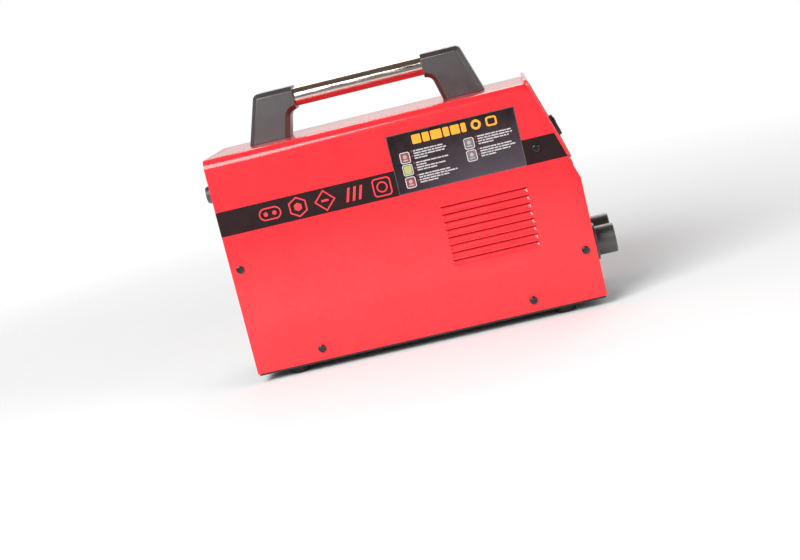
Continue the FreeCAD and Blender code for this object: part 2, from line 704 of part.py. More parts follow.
def knob_cap():
    """Inset disc with a raised pointer towards the top of the dial."""
    disc = rod(CAP_R, (KNOB_T, 0, KNOB_TOP_N - CAP_SUNK), (KNOB_T, 0, KNOB_TOP_N + CAP_PROUD))
    t = (KNOB_T + POINTER_T[0], KNOB_T + POINTER_T[1])
    pointer = box(t, (-POINTER_HALF_Y, POINTER_HALF_Y), (KNOB_TOP_N, KNOB_TOP_N + POINTER_H))
    return on_slope(fuse_all([disc, pointer]))


def control_board():
    board = box((6, 78), (-60, 60), (BOARD_N - BOARD_T, BOARD_N))
    return on_slope(board)


# Output sockets

def socket_body(y):
    """Insulated panel socket housing with a round flange."""
    face_x = FRONT_X - PANEL_RECESS
    flange_x = face_x + SOCKET_FLANGE_H
    flange = rod(SOCKET_FLANGE_R, (face_x, y, SOCKET_Z), (flange_x, y, SOCKET_Z))
    flange = flange.makeFillet(1.2, [e for e in flange.Edges if e.BoundBox.XMin > flange_x - 0.1])
    collar = rod(SOCKET_BODY_R, (flange_x - 1.5, y, SOCKET_Z), (END_REACH_X, y, SOCKET_Z))
    collar = collar.makeFillet(1.5, [e for e in collar.Edges if e.BoundBox.XMin > END_REACH_X - 0.1])
    inside = rod(SOCKET_INSIDE_R, (SOCKET_INSIDE_X, y, SOCKET_Z), (face_x + 1, y, SOCKET_Z))
    body = fuse_all([flange, collar, inside])
    body = body.cut(rod(SOCKET_SEAT_R, (SOCKET_X[0], y, SOCKET_Z), (SOCKET_X[1], y, SOCKET_Z)))
    return body.cut(rod(SOCKET_SEAT_R - 1, (SOCKET_X[1] - 1, y, SOCKET_Z), (END_REACH_X + 1, y, SOCKET_Z)))


def socket_insert(y):
    """Brass contact: round bore with a key slot in front, threaded stud behind."""
    insert = rod(SOCKET_SEAT_R, (SOCKET_X[0], y, SOCKET_Z), (SOCKET_X[1], y, SOCKET_Z))
    stud = rod(SOCKET_STUD_R, (SOCKET_STUD_X, y, SOCKET_Z), (SOCKET_X[0] + 1, y, SOCKET_Z))
    insert = fuse_all([insert, stud])
    insert = insert.cut(rod(SOCKET_BORE_R, (SOCKET_BOTTOM_X, y, SOCKET_Z), (END_REACH_X, y, SOCKET_Z)))
    key = box((SOCKET_BOTTOM_X + 6, END_REACH_X), (y - 1.8, y + 1.8), (SOCKET_Z + 4, SOCKET_Z + 8.2))
    return insert.cut(key)


def socket_nuts():
    nuts = []
    for y in (-SOCKET_Y, SOCKET_Y):
        nut = hexagon_x(SOCKET_NUT_FLATS, y, SOCKET_Z, SOCKET_NUT_X)
        thread = rod(SOCKET_STUD_R, (SOCKET_NUT_X[0] - 1, y, SOCKET_Z), (SOCKET_NUT_X[1] + 1, y, SOCKET_Z))
        nuts.append(nut.cut(thread))
    return Part.makeCompound(nuts)


def busbar(side):
    """Flat copper bar from the socket's stud back to the heatsink."""
    inner_y = side * BAR_Y[0]
    thick = BAR_X[1] - BAR_X[0]
    stud_y = side * SOCKET_Y
    plate = box(BAR_X, sorted((inner_y, side * BAR_Y[1])), BAR_Z)
    hole = rod(SOCKET_STUD_R + 0.2, (BAR_X[0] - 1, stud_y, SOCKET_Z), (BAR_X[1] + 1, stud_y, SOCKET_Z))
    plate = plate.cut(hole)
    leg = box((SINK_X[1], BAR_X[0] + 1), sorted((inner_y, inner_y + side * thick)), (BAR_LEG_Z, BAR_Z[1]))
    return fuse_all([plate, leg])


def polarity_marks():
    face_x = FRONT_X - PANEL_RECESS
    x = (face_x, face_x + MARK_H)
    z = SOCKET_Z + MARK_ABOVE
    bar_z = (z - MARK_BAR_HALF, z + MARK_BAR_HALF)
    across = box(x, (SOCKET_Y - MARK_HALF, SOCKET_Y + MARK_HALF), bar_z)
    upright = box(x, (SOCKET_Y - MARK_BAR_HALF, SOCKET_Y + MARK_BAR_HALF), (z - MARK_HALF, z + MARK_HALF))
    minus = box(x, (-SOCKET_Y - MARK_HALF, -SOCKET_Y + MARK_HALF), bar_z)
    return Part.makeCompound([fuse_all([across, upright]), minus])


# Rear fittings

def fan_bolt_places():
    return [(y, FAN_Z + z) for y in (-FAN_BOLT, FAN_BOLT) for z in (-FAN_BOLT, FAN_BOLT)]


def fan_x():
    low = REAR_X + PANEL_RECESS + PANEL_SHEET
    return low, low + FAN_DEPTH


def fan_frame():
    """Square axial-fan frame with its motor mount on four struts."""
    low, high = fan_x()
    half = FAN_SIZE / 2
    frame = box((low, high), (-half, half), (FAN_Z - half, FAN_Z + half))
    frame = frame.makeFillet(6.0, [e for e in frame.Edges if abs(e.tangentAt(e.FirstParameter).x) > 0.99])
    frame = frame.cut(rod(FAN_BORE_R, (low - 1, 0, FAN_Z), (high + 1, 0, FAN_Z)))
    waist = (low + 4, high - 4)
    for y, z in fan_bolt_places():
        frame = frame.cut(rod(2.2, (low - 1, y, z), (high + 1, y, z)))
    for turn in range(4):
        notch = box(waist, (-half / 2, half / 2), (FAN_Z + half - 1.5, FAN_Z + half + 1))
        notch.rotate(Vector(0, 0, FAN_Z), X_AXIS, 90 * turn)
        frame = frame.cut(notch)
    mount = rod(FAN_HUB_R, (high - FAN_WEB, 0, FAN_Z), (high, 0, FAN_Z))
    struts = []
    for turn in range(4):
        strut = box((high - FAN_WEB, high), (-2.5, 2.5), (FAN_Z + FAN_HUB_R - 5, FAN_Z + half - 0.5))
        strut.rotate(Vector(0, 0, FAN_Z), X_AXIS, 90 * turn + 20)
        struts.append(strut)
    bearing = rod(4.0, (high - 12, 0, FAN_Z), (high - 3, 0, FAN_Z))
    body = fuse_all([frame, mount, bearing] + struts)
    return body.cut(rod(FAN_SHAFT_R + RUNNING_GAP, (high - 13, 0, FAN_Z), (high - 1.5, 0, FAN_Z)))


def fan_blade(turn):
    """Twisted blade from the hub to the tip."""
    mid_x = fan_x()[0] + 10.5
    sections = []
    root, tip = FAN_HUB_R - 1.2, FAN_BORE_R - 2.0
    for radius, chord, pitch in ((root, 17.0, 42.0), (38.0, 21.0, 32.0), (tip, 24.0, 24.0)):
        ahead = Vector(math.sin(math.radians(pitch)), math.cos(math.radians(pitch)), 0)
        thick = Vector(-ahead.y, ahead.x, 0) * 0.8
        centre = Vector(mid_x, 0, FAN_Z + radius)
        reach = ahead * (chord / 2)
        rear, front = centre - reach, centre + reach
        corners = [rear - thick, front - thick, front + thick, rear + thick]
        sections.append(Part.makePolygon(corners + corners[:1]))
    blade = Part.makeLoft(sections, True, True)
    blade.rotate(Vector(0, 0, FAN_Z), X_AXIS, turn)
    return blade


def fan_rotor():
    low, high = fan_x()
    cup = rod(FAN_HUB_R, (low + 2.5, 0, FAN_Z), (high - 4.5, 0, FAN_Z))
    cup = cup.makeFillet(2.0, [e for e in cup.Edges if e.BoundBox.XMax < low + 2.6])
    cup = cup.cut(rod(FAN_HUB_R - 2.5, (low + 5, 0, FAN_Z), (high, 0, FAN_Z)))
    shaft = rod(FAN_SHAFT_R, (low + 4, 0, FAN_Z), (high - 2, 0, FAN_Z))
    blades = [fan_blade(360.0 * step / FAN_BLADES) for step in range(FAN_BLADES)]
    trim = pipe(FAN_BORE_R + 12, FAN_BORE_R - 2.2, (low - 1, 0, FAN_Z), (high + 1, 0, FAN_Z))
    blades = [blade.cut(trim).cut(rod(FAN_HUB_R - 1.5, (low, 0, FAN_Z), (high, 0, FAN_Z))) for blade in blades]
    return cup.multiFuse([shaft] + blades)


def fan_guard():
    """Welded wire guard on the outside of the rear panel."""
    face_x = REAR_X + PANEL_RECESS
    spoke_x = face_x - GUARD_SPOKE_R - 0.05
    ring_x = spoke_x - 1.9
    at = Vector(ring_x, 0, FAN_Z)
    rings = [Part.makeTorus(radius, GUARD_RING_WIRE_R, at, X_AXIS) for radius in GUARD_RINGS]
    spokes = []
    for y, z in fan_bolt_places():
        away = Vector(0, y, z - FAN_Z)
        away.normalize()
        inner = Vector(spoke_x, 0, FAN_Z) + away * GUARD_SPOKE_START
        outer = Vector(spoke_x, y, z) - away * GUARD_EYE_R
        spokes.append(Part.makeCylinder(GUARD_SPOKE_R, (outer - inner).Length, inner, away))
        spokes.append(Part.makeTorus(GUARD_EYE_R, GUARD_SPOKE_R, Vector(spoke_x, y, z), X_AXIS))
    return fuse_all(rings + spokes)


def fan_screws():
    high = fan_x()[1]
    seat_x = REAR_X + PANEL_RECESS - 2 * GUARD_SPOKE_R - 0.05
    screws = []
    for y, z in fan_bolt_places():
        screws.append(pan_screw((seat_x, y, z), (-1, 0, 0), high + 5 - seat_x))
        nut = hexagon_x(7.0, y, z, (high, high + 3.2))
        screws.append(nut.cut(rod(SCREW_R, (high - 1, y, z), (high + 4, y, z))))
    return Part.makeCompound(screws)


def cable_gland():
    face_x = REAR_X + PANEL_RECESS
    at = (GLAND_Y, GLAND_Z)
    thread = rod(GLAND_THREAD_R, (face_x, *at), (GLAND_THREAD_END_X, *at))
    collar = hexagon_x(GLAND_FLATS, *at, (face_x - GLAND_COLLAR_H, face_x))
    neck = rod(GLAND_NECK_R, (face_x - GLAND_NECK_H, *at), (face_x - GLAND_COLLAR_H + 1, *at))
    body = fuse_all([thread, collar, neck])
    return body.cut(rod(GLAND_BORE_R, (-END_REACH_X - 1, *at), (GLAND_THREAD_END_X + 1, *at)))


def gland_dome_nut():
    """Cap nut that squeezes the seal onto the cable."""
    face_x = REAR_X + PANEL_RECESS
    at = (GLAND_Y, GLAND_Z)
    start = face_x - GLAND_COLLAR_H - 0.5
    hexagon = hexagon_x(GLAND_FLATS, *at, (start - 9, start))
    dome = Part.makeCone(8.6, GLAND_FLATS / 2, 10.0, Vector(-END_REACH_X, *at), X_AXIS)
    nut = fuse_all([hexagon, dome])
    nut = nut.cut(rod(GLAND_NECK_R + 0.05, (seal_end_x(), *at), (start + 1, *at)))
    return nut.cut(rod(GLAND_BORE_R, (-END_REACH_X - 1, *at), (start + 1, *at)))


def seal_end_x():
    return -END_REACH_X + 6.5


def gland_seal():
    face_x = REAR_X + PANEL_RECESS
    at = (GLAND_Y, GLAND_Z)
    return pipe(GLAND_NECK_R - 0.2, GLAND_BORE_R, (seal_end_x(), *at), (face_x - GLAND_NECK_H, *at))


def gland_locknut():
    face_x = REAR_X + PANEL_RECESS + PANEL_SHEET
    nut = hexagon_x(27.0, GLAND_Y, GLAND_Z, (face_x, face_x + 5))
    return nut.cut(rod(GLAND_THREAD_R, (face_x - 1, GLAND_Y, GLAND_Z), (face_x + 6, GLAND_Y, GLAND_Z)))


def stud_nut_x():
    """Ends of the outer nut of the earth stud."""
    seat = REAR_X + PANEL_RECESS - STUD_WASHER
    return seat - STUD_NUT_H, seat


def ground_stud():
    """Earth stud: full thread outside the nuts, a little slimmer where the nuts and the panel sit."""
    shoulder_x = stud_nut_x()[0] - 1.0
    thread = rod(STUD_R, (STUD_END_X, STUD_Y, STUD_Z), (shoulder_x, STUD_Y, STUD_Z))
    seat = rod(STUD_SEAT_R, (shoulder_x, STUD_Y, STUD_Z), (stud_nut_x()[1] + 16.0, STUD_Y, STUD_Z))
    return fuse_all([thread, seat])


def ground_nuts():
    outside = REAR_X + PANEL_RECESS
    inside = outside + PANEL_SHEET
    pieces = [pipe(6.5, STUD_SEAT_R, (outside - STUD_WASHER, STUD_Y, STUD_Z), (outside, STUD_Y, STUD_Z))]
    for x in (stud_nut_x(), (inside, inside + STUD_NUT_H)):
        nut = hexagon_x(10.0, STUD_Y, STUD_Z, x)
        pieces.append(nut.cut(rod(STUD_SEAT_R, (x[0] - 1, STUD_Y, STUD_Z), (x[1] + 1, STUD_Y, STUD_Z))))
    return Part.makeCompound(pieces)


def switch_pivot():
    return Vector(REAR_X + PANEL_RECESS, SWITCH_Y, SWITCH_Z)


def switch_block(half, x):
    """Box round the switch's middle line, with half its width and height, and x measured from the pivot."""
    pivot = switch_pivot()
    y = (pivot.y - half[0], pivot.y + half[0])
    return box((pivot.x + x[0], pivot.x + x[1]), y, (pivot.z - half[1], pivot.z + half[1]))


def switch_housing():
    """Snap-in frame with a pocket for the rocker and two terminals behind."""
    pivot = switch_pivot()
    flange = switch_block(SWITCH_FLANGE_HALF, (-SWITCH_FLANGE_H, 0))
    flange = flange.makeFillet(1.2, [e for e in flange.Edges if e.BoundBox.XMax < pivot.x - 0.1])
    housing = fuse_all([flange, switch_block(SWITCH_BODY_HALF, (-1, SWITCH_DEPTH))])
    housing = housing.cut(switch_block(SWITCH_POCKET_HALF, (-SWITCH_FLANGE_H - 1, SWITCH_POCKET_DEPTH)))
    pin_hole = rod(TRUNNION_R + RUNNING_GAP, (0, -TRUNNION_HALF_Y - 0.2, 0), (0, TRUNNION_HALF_Y + 0.2, 0))
    housing = housing.cut(pin_hole.translated(pivot))
    tags = []
    for z in (-9.0, 0.0, 9.0):
        for y in (-5.0, 5.0):
            tag = switch_block((3.0, 0.4), (SWITCH_DEPTH - 1, SWITCH_DEPTH + 9))
            tag.translate(Vector(0, y, z))
            tags.append(tag)
    return fuse_all([housing] + tags)


def switch_rocker():
    """Rocker on two short trunnions, shown with its lower end pressed in."""
    pivot = switch_pivot()
    outline = [(-5.2, 12.4), (-2.6, 0.0), (-5.2, -12.4), (-0.6, -12.6), (4.6, -4.0), (4.6, 4.0), (-0.6, 12.6)]
    corners = [(pivot.x + x, pivot.z + z) for x, z in outline]
    rocker = prism(corners, pivot.y - ROCKER_HALF_Y, 2 * ROCKER_HALF_Y)
    long_edges = [e for e in rocker.Edges if along_y(e) and e.BoundBox.XMin < pivot.x - 5]
    rocker = rocker.makeFillet(0.8, long_edges)
    ends = ((pivot.x, pivot.y - TRUNNION_HALF_Y, pivot.z), (pivot.x, pivot.y + TRUNNION_HALF_Y, pivot.z))
    trunnion = rod(TRUNNION_R, *ends)
    rocker = fuse_all([rocker, trunnion])
    rocker.rotate(pivot, Y_AXIS, -ROCK_DEG)
    return rocker


# Power electronics

def heatsink(side):
    """Finned extrusion: thick back on top, fins hanging down into the air stream."""
    low, high = SINK_Y
    back = box(SINK_X, (low, high), (SINK_Z[1] - SINK_BASE, SINK_Z[1]))
    fins = []
    for row in range(SINK_FINS):
        y = low + row * (high - low - SINK_FIN) / (SINK_FINS - 1)
        fins.append(box(SINK_X, (y, y + SINK_FIN), (SINK_Z[0], SINK_Z[1] - SINK_BASE + 1)))
    sink = fuse_all([back] + fins)
    return sink if side > 0 else mirror_y(sink)


def heatsink_supports():
    """Insulating blocks between the tray and the heatsinks."""
    blocks = []
    for x in SUPPORT_X:
        block = box((x, x + SUPPORT_LENGTH), (SINK_Y[0] + 2, SINK_Y[1] - 2), (TRAY_TOP_Z, SINK_Z[0]))
        blocks += both_sides(block)
    return Part.makeCompound(blocks)


def power_packages(side):
    """Row of flat transistor or diode packages on the back of a heatsink, legs up to the board."""
    packages = []
    seat_z = SINK_Z[1]
    leg_z = seat_z + 2
    for column in range(PACKAGE_COUNT):
        x = PACKAGE_X + PACKAGE_PITCH * column
        parts = [box((x, x + PACKAGE_LENGTH), PACKAGE_Y, (seat_z, seat_z + PACKAGE_H))]
        for leg in range(3):
            leg_x = x + 2.6 + 5.0 * leg
            leg_ends = (leg_x, leg_x + LEG_W)
            parts.append(box(leg_ends, (LEG_Y, PACKAGE_Y[0] + 0.5), (leg_z, leg_z + LEG_T)))
            parts.append(box(leg_ends, (LEG_Y, LEG_Y + LEG_T), (leg_z, BOARD_Z)))
        package = fuse_all(parts)
        packages.append(package if side > 0 else mirror_y(package))
    return Part.makeCompound(packages)


def standoff_places():
    return [(x, y) for x in STANDOFF_X for y in (-STANDOFF_Y, STANDOFF_Y)]


def board_standoffs():
    return Part.makeCompound([hexagon_z(7.0, x, y, (SINK_Z[1], BOARD_Z)) for x, y in standoff_places()])


def main_board():
    board = box(BOARD_X, (-BOARD_HALF_Y, BOARD_HALF_Y), (BOARD_Z, BOARD_Z + BOARD_T))
    holes = [rod(1.6, (x, y, BOARD_Z - 1), (x, y, BOARD_Z + 3)) for x, y in standoff_places()]
    return board.cut(Part.makeCompound(holes))


def bus_capacitors():
    cans = []
    base_z = BOARD_Z + BOARD_T
    for x in CAN_X:
        can = rod(CAN_R, (x, CAN_Y, base_z), (x, CAN_Y, base_z + CAN_H))
        can = can.makeFillet(1.5, [e for e in can.Edges if e.BoundBox.ZMin > base_z + CAN_H - 0.1])
        cans.append(can)
    return Part.makeCompound(cans)


def bridge_rectifier():
    base_z = BOARD_Z + BOARD_T
    block = box((6, 36), (-53, -23), (base_z, base_z + 10))
    return block.makeFillet(1.5, [e for e in block.Edges if abs(e.tangentAt(e.FirstParameter).z) > 0.99])


def start_relay():
    base_z = BOARD_Z + BOARD_T
    return box((-122, -94), (14, 38), (base_z, base_z + 21))


def auxiliary_transformer():
    """Small ferrite transformer on the board: core around a wound bobbin."""
    base_z = BOARD_Z + BOARD_T
    core = box((-70, -42), (16, 38), (base_z + 2, base_z + 24))
    core = core.cut(box((-71, -41), (20, 34), (base_z + 6, base_z + 20)))
    bobbin = box((-66, -46), (12, 42), (base_z, base_z + 20))
    return fuse_all([core, bobbin])


def transformer_core():
    """Ferrite block with two windows round the middle leg."""
    block = box(CORE_X, CORE_Y, (TRAY_TOP_Z, TRAY_TOP_Z + CORE_H))
    window_z = (TRAY_TOP_Z + CORE_LIMB, TRAY_TOP_Z + CORE_H - CORE_LIMB)
    for x in (CORE_X[0] + CORE_LIMB, CORE_X[1] - CORE_LIMB - CORE_WINDOW):
        block = block.cut(box((x, x + CORE_WINDOW), (CORE_Y[0] - 1, CORE_Y[1] + 1), window_z))
    return block


def transformer_windings():
    """Coil round the middle leg, filling both windows."""
    z = (TRAY_TOP_Z + CORE_LIMB + 0.5, TRAY_TOP_Z + CORE_H - CORE_LIMB - 0.5)
    outer_x = (CORE_X[0] + CORE_LIMB + 0.5, CORE_X[1] - CORE_LIMB - 0.5)
    leg_x = (CORE_X[0] + CORE_LIMB + CORE_WINDOW - 0.3, CORE_X[1] - CORE_LIMB - CORE_WINDOW + 0.3)
    coil = rounded_plate(outer_x, (CORE_Y[0] - 7, CORE_Y[1] + 7), z, 6.0)
    return coil.cut(box(leg_x, (CORE_Y[0] - 0.3, CORE_Y[1] + 0.3), (z[0] - 1, z[1] + 1)))


def choke_core():
    return pipe(*CHOKE_R, (*CHOKE_AT, CHOKE_Z[0]), (*CHOKE_AT, CHOKE_Z[1]))


def choke_winding():
    """Turns of square copper round the ring core."""
    turns = []
    inner = (CHOKE_R[1] - 0.2, CHOKE_R[0] + 0.2)
    inner_z = (CHOKE_Z[0] - 0.2, CHOKE_Z[1] + 0.2)
    for step in range(CHOKE_TURNS):
        loop = box((inner[0] - 2.4, inner[1] + WIRE), (-1.6, 1.6), (inner_z[0] - WIRE, inner_z[1] + WIRE))
        loop = loop.cut(box(inner, (-2, 2), inner_z))
        loop.rotate(Vector(0, 0, 0), Z_AXIS, 360.0 * step / CHOKE_TURNS)
        loop.translate(Vector(*CHOKE_AT, 0))
        turns.append(loop)
    return Part.makeCompound(turns)


PARTS = {
    "cover": cover(),
    "base_tray": base_tray(),
    "front_panel": front_panel(),
    "rear_panel": rear_panel(),
    "cover_screws": cover_screws(),
    "side_bands": side_bands(),
    "info_panels": info_panels(),
    "feet": feet(),
    "foot_screws": foot_screws(),
    "handle_post_rear": handle_post(-1),
    "handle_post_front": handle_post(1),
    "handle_tube": handle_tube(),
    "handle_screws": handle_screws(),
    "control_fascia": control_fascia(),
    "fascia_overlay": fascia_overlay(),
    "display_window": display_window(),
    "display_module": display_module(),
    "power_lens": indicator(LENS_Y),
    "overheat_lens": indicator(-LENS_Y),
    "pot_body": pot_body(),
    "pot_shaft": pot_shaft(),
    "pot_nut": pot_nut(),
    "current_knob": current_knob(),
    "knob_cap": knob_cap(),
    "control_board": control_board(),
    "positive_socket_body": socket_body(SOCKET_Y),
    "negative_socket_body": socket_body(-SOCKET_Y),
    "positive_socket_insert": socket_insert(SOCKET_Y),
    "negative_socket_insert": socket_insert(-SOCKET_Y),
    "socket_nuts": socket_nuts(),
    "positive_busbar": busbar(1),
    "negative_busbar": busbar(-1),
    "polarity_marks": polarity_marks(),
    "fan_frame": fan_frame(),
    "fan_rotor": fan_rotor(),
    "fan_guard": fan_guard(),
    "fan_screws": fan_screws(),
    "cable_gland": cable_gland(),
    "gland_dome_nut": gland_dome_nut(),
    "gland_seal": gland_seal(),
    "gland_locknut": gland_locknut(),
    "ground_stud": ground_stud(),
    "ground_nuts": ground_nuts(),
    "switch_housing": switch_housing(),
    "switch_rocker": switch_rocker(),
    "transistor_heatsink": heatsink(-1),
    "diode_heatsink": heatsink(1),
    "heatsink_supports": heatsink_supports(),
    "transistor_packages": power_packages(-1),
    "diode_packages": power_packages(1),
    "board_standoffs": board_standoffs(),
    "main_board": main_board(),
    "bus_capacitors": bus_capacitors(),
    "bridge_rectifier": bridge_rectifier(),
    "start_relay": start_relay(),
    "auxiliary_transformer": auxiliary_transformer(),
    "transformer_core": transformer_core(),
    "transformer_windings": transformer_windings(),
    "choke_core": choke_core(),
    "choke_winding": choke_winding(),
}

os.makedirs("parts", exist_ok=True)
for name, shape in PARTS.items():
    shape.exportStep(os.path.join("parts", name + ".step"))
    valid = all(solid.isValid() for solid in shape.Solids)
    print(f"{name:24s} solids {len(shape.Solids):2d}  valid {valid}  volume {shape.Volume / 1000:8.2f} cm3")
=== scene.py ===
import json
import math

import bmesh
import bpy
from mathutils import Matrix, Vector


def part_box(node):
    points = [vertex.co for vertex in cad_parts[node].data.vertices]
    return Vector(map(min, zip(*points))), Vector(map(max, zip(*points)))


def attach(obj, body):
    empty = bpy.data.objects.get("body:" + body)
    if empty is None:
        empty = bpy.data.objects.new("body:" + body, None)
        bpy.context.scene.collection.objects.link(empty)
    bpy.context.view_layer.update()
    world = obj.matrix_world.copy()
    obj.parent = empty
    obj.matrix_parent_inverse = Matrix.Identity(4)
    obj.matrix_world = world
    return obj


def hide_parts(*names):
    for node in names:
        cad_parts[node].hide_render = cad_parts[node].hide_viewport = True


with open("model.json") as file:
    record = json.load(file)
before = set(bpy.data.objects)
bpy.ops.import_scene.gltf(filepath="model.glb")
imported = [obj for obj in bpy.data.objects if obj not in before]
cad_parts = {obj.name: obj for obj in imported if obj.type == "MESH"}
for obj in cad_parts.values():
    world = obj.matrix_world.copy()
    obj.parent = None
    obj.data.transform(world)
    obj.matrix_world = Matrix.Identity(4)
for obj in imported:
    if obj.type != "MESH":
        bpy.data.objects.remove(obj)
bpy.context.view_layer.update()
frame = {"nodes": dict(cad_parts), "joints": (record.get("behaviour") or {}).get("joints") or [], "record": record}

# Looks of a stick welding inverter. Metres. +X is the front, +Y the machine's left side, +Z up.
# Sizes are written as millimetres times MM.

MM = 0.001
WELD = 0.001 * MM
NODES = frame["nodes"]
JOINTS = {joint["name"]: joint for joint in frame["joints"]}

# Case, as the frame has it
CASE_LOW, CASE_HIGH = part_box("cover")
REAR_X, FRONT_X = CASE_LOW.x, CASE_HIGH.x
HALF_W = CASE_HIGH.y
LOW_Z, TOP_Z = CASE_LOW.z, CASE_HIGH.z
SHEET = 1.2 * MM
BEND_R = 10 * MM
BEND_STEPS = 12
EDGE_R = 0.3 * MM
RIM_REACH = 0.7 * MM
RIM_ANGLE = math.radians(60)
WALL_ROWS = (155 * MM, 185 * MM, 210 * MM)
ROOF_ROWS = (-40 * MM, -20 * MM, 0.0)

# The slope's own frame: down it, across it, and out of it, from the knob's axis
KNOB_AT = Vector(JOINTS["knob_turn"]["pos_m"])
SLOPE_OUT = Vector(JOINTS["knob_turn"]["axis"]).normalized()
SLOPE_DOWN = Vector((SLOPE_OUT.z, 0, -SLOPE_OUT.x))
KNEE_Z = KNOB_AT.z - (FRONT_X - KNOB_AT.x) * SLOPE_OUT.x / SLOPE_OUT.z

# Louvres, pressed inwards from both sides
LOUVRE_X = (40.5 * MM, 129.5 * MM)
LOUVRE_TOP_Z = 135.2 * MM
LOUVRE_PITCH = 7.9 * MM
LOUVRE_H = 6.2 * MM
LOUVRE_DEPTH = 2.8 * MM
LOUVRE_COUNT = 8
LOUVRE_END = 3.2 * MM
LOUVRE_GAP = 0.8 * MM
LOUVRE_SOFTNESS = 0.15
LOUVRE_MARGIN = 0.25 * MM

# Columns of the cover's mesh: behind the louvres, along their straight part, and by shares up to the front edge
REAR_COLUMNS = 8
LOUVRE_COLUMNS = 5
FRONT_COLUMNS = [0.3, 0.7, 1.0]

# Handle posts
POST_EDGE = 4.5 * MM
POST_SHOULDER_R = 6 * MM
POST_THROAT_R = 8 * MM
POST_TOP_LEAN = 16.2 * MM
POST_NECK_LEAN = 6.5 * MM
POST_FOOT_W = 43.3 * MM
POST_COLLAR_H = 24 * MM
POST_SOFT_R = 0.6 * MM
POST_SOFT_ANGLE = math.radians(28)

# Printed graphics: how far ink stands out of a face, and how far it reaches into it
INK = 0.05 * MM
SUNK = 0.01 * MM
LABEL_LOW, LABEL_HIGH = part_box("info_panels")
BAND_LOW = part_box("side_bands")[0]
FILM_Y = LABEL_HIGH.y


def span(node, direction, origin=Vector((0, 0, 0))):
    """Lowest and highest reach of a CAD node along a direction."""
    reaches = [(vertex.co - origin).dot(direction) for vertex in NODES[node].data.vertices]
    return min(reaches), max(reaches)


def front_x(z):
    """Where the case's front edge is at height z."""
    return min(FRONT_X, KNOB_AT.x + (KNOB_AT.z - z) * SLOPE_OUT.z / SLOPE_OUT.x)


# Materials

# Where the values of a noise pattern mostly lie
NOISE_LOW, NOISE_HIGH = 0.3, 0.7
# Colour sockets of Blender's Mix node, whose sockets share their names: inputs A and B, and the result
MIX_A, MIX_B, MIX_RESULT = 6, 7, 2
# How far the softened and the true normal agree at a sharp edge and on a flat face
EDGE_AGREES, FLAT_AGREES = 0.75, 0.97


def blank(name):
    """New material with its node tree and shader."""
    material = bpy.data.materials.new(name)
    material.use_nodes = True
    return material, material.node_tree, material.node_tree.nodes["Principled BSDF"]


def place_coords(tree, stretch):
    """The piece's own coordinates, stretched."""
    coords = tree.nodes.new("ShaderNodeTexCoord")
    mapping = tree.nodes.new("ShaderNodeMapping")
    mapping.inputs["Scale"].default_value = stretch
    tree.links.new(coords.outputs["Object"], mapping.inputs["Vector"])
    return mapping.outputs["Vector"]


def noise(tree, size, detail=2.0, stretch=(1, 1, 1)):
    """Cloudy pattern whose features are about size across."""
    texture = tree.nodes.new("ShaderNodeTexNoise")
    texture.inputs["Scale"].default_value = 1 / size
    texture.inputs["Detail"].default_value = detail
    tree.links.new(place_coords(tree, stretch), texture.inputs["Vector"])
    return texture.outputs["Fac"]


def cells(tree, size, distance="EUCLIDEAN"):
    """Pebble pattern with cells about size across."""
    texture = tree.nodes.new("ShaderNodeTexVoronoi")
    texture.distance = distance
    texture.inputs["Scale"].default_value = 1 / size
    tree.links.new(place_coords(tree, (1, 1, 1)), texture.inputs["Vector"])
    return texture.outputs["Distance"]


def bands(tree, pitch, axis):
    """Even ridges across an axis, one every pitch."""
    texture = tree.nodes.new("ShaderNodeTexWave")
    texture.bands_direction = axis
    texture.wave_profile = "SIN"
    texture.inputs["Scale"].default_value = math.pi / (10 * pitch)
    tree.links.new(place_coords(tree, (1, 1, 1)), texture.inputs["Vector"])
    return texture.outputs["Fac"]


def spread(tree, value, low, high, start=NOISE_LOW, end=NOISE_HIGH):
    """Turn a pattern into numbers from low to high."""
    ranged = tree.nodes.new("ShaderNodeMapRange")
    ranged.inputs["From Min"].default_value = start
    ranged.inputs["From Max"].default_value = end
    ranged.inputs["To Min"].default_value = low
    ranged.inputs["To Max"].default_value = high
    tree.links.new(value, ranged.inputs["Value"])
    return ranged.outputs["Result"]


def ramp(tree, value, colours):
    """Turn a pattern into colours, spread over its middle range."""
    node = tree.nodes.new("ShaderNodeValToRGB")
    stops = node.color_ramp.elements
    while len(stops) < len(colours):
        stops.new(0.5)
    for index, colour in enumerate(colours):
        stops[index].position = NOISE_LOW + (NOISE_HIGH - NOISE_LOW) * index / max(1, len(colours) - 1)
        stops[index].color = (*colour, 1)
    tree.links.new(value, node.inputs["Fac"])
    return node.outputs["Color"]


def mix(tree, factor, first, second):
    """Blend two colours, each a socket or three numbers."""
    node = tree.nodes.new("ShaderNodeMix")
    node.data_type = "RGBA"
    tree.links.new(factor, node.inputs["Factor"])
    for socket, colour in ((node.inputs[MIX_A], first), (node.inputs[MIX_B], second)):
        if isinstance(colour, tuple):
            socket.default_value = (*colour, 1)
        else:
            tree.links.new(colour, socket)
    return node.outputs[MIX_RESULT]


def bumps(tree, shader, layers):
    """Stack relief layers, each a pattern and its height."""
    normal = None
    for pattern, height in layers:
        bump = tree.nodes.new("ShaderNodeBump")
        bump.inputs["Distance"].default_value = height
        tree.links.new(pattern, bump.inputs["Height"])
        if normal is not None:
            tree.links.new(normal, bump.inputs["Normal"])
        normal = bump.outputs["Normal"]
    tree.links.new(normal, shader.inputs["Normal"])


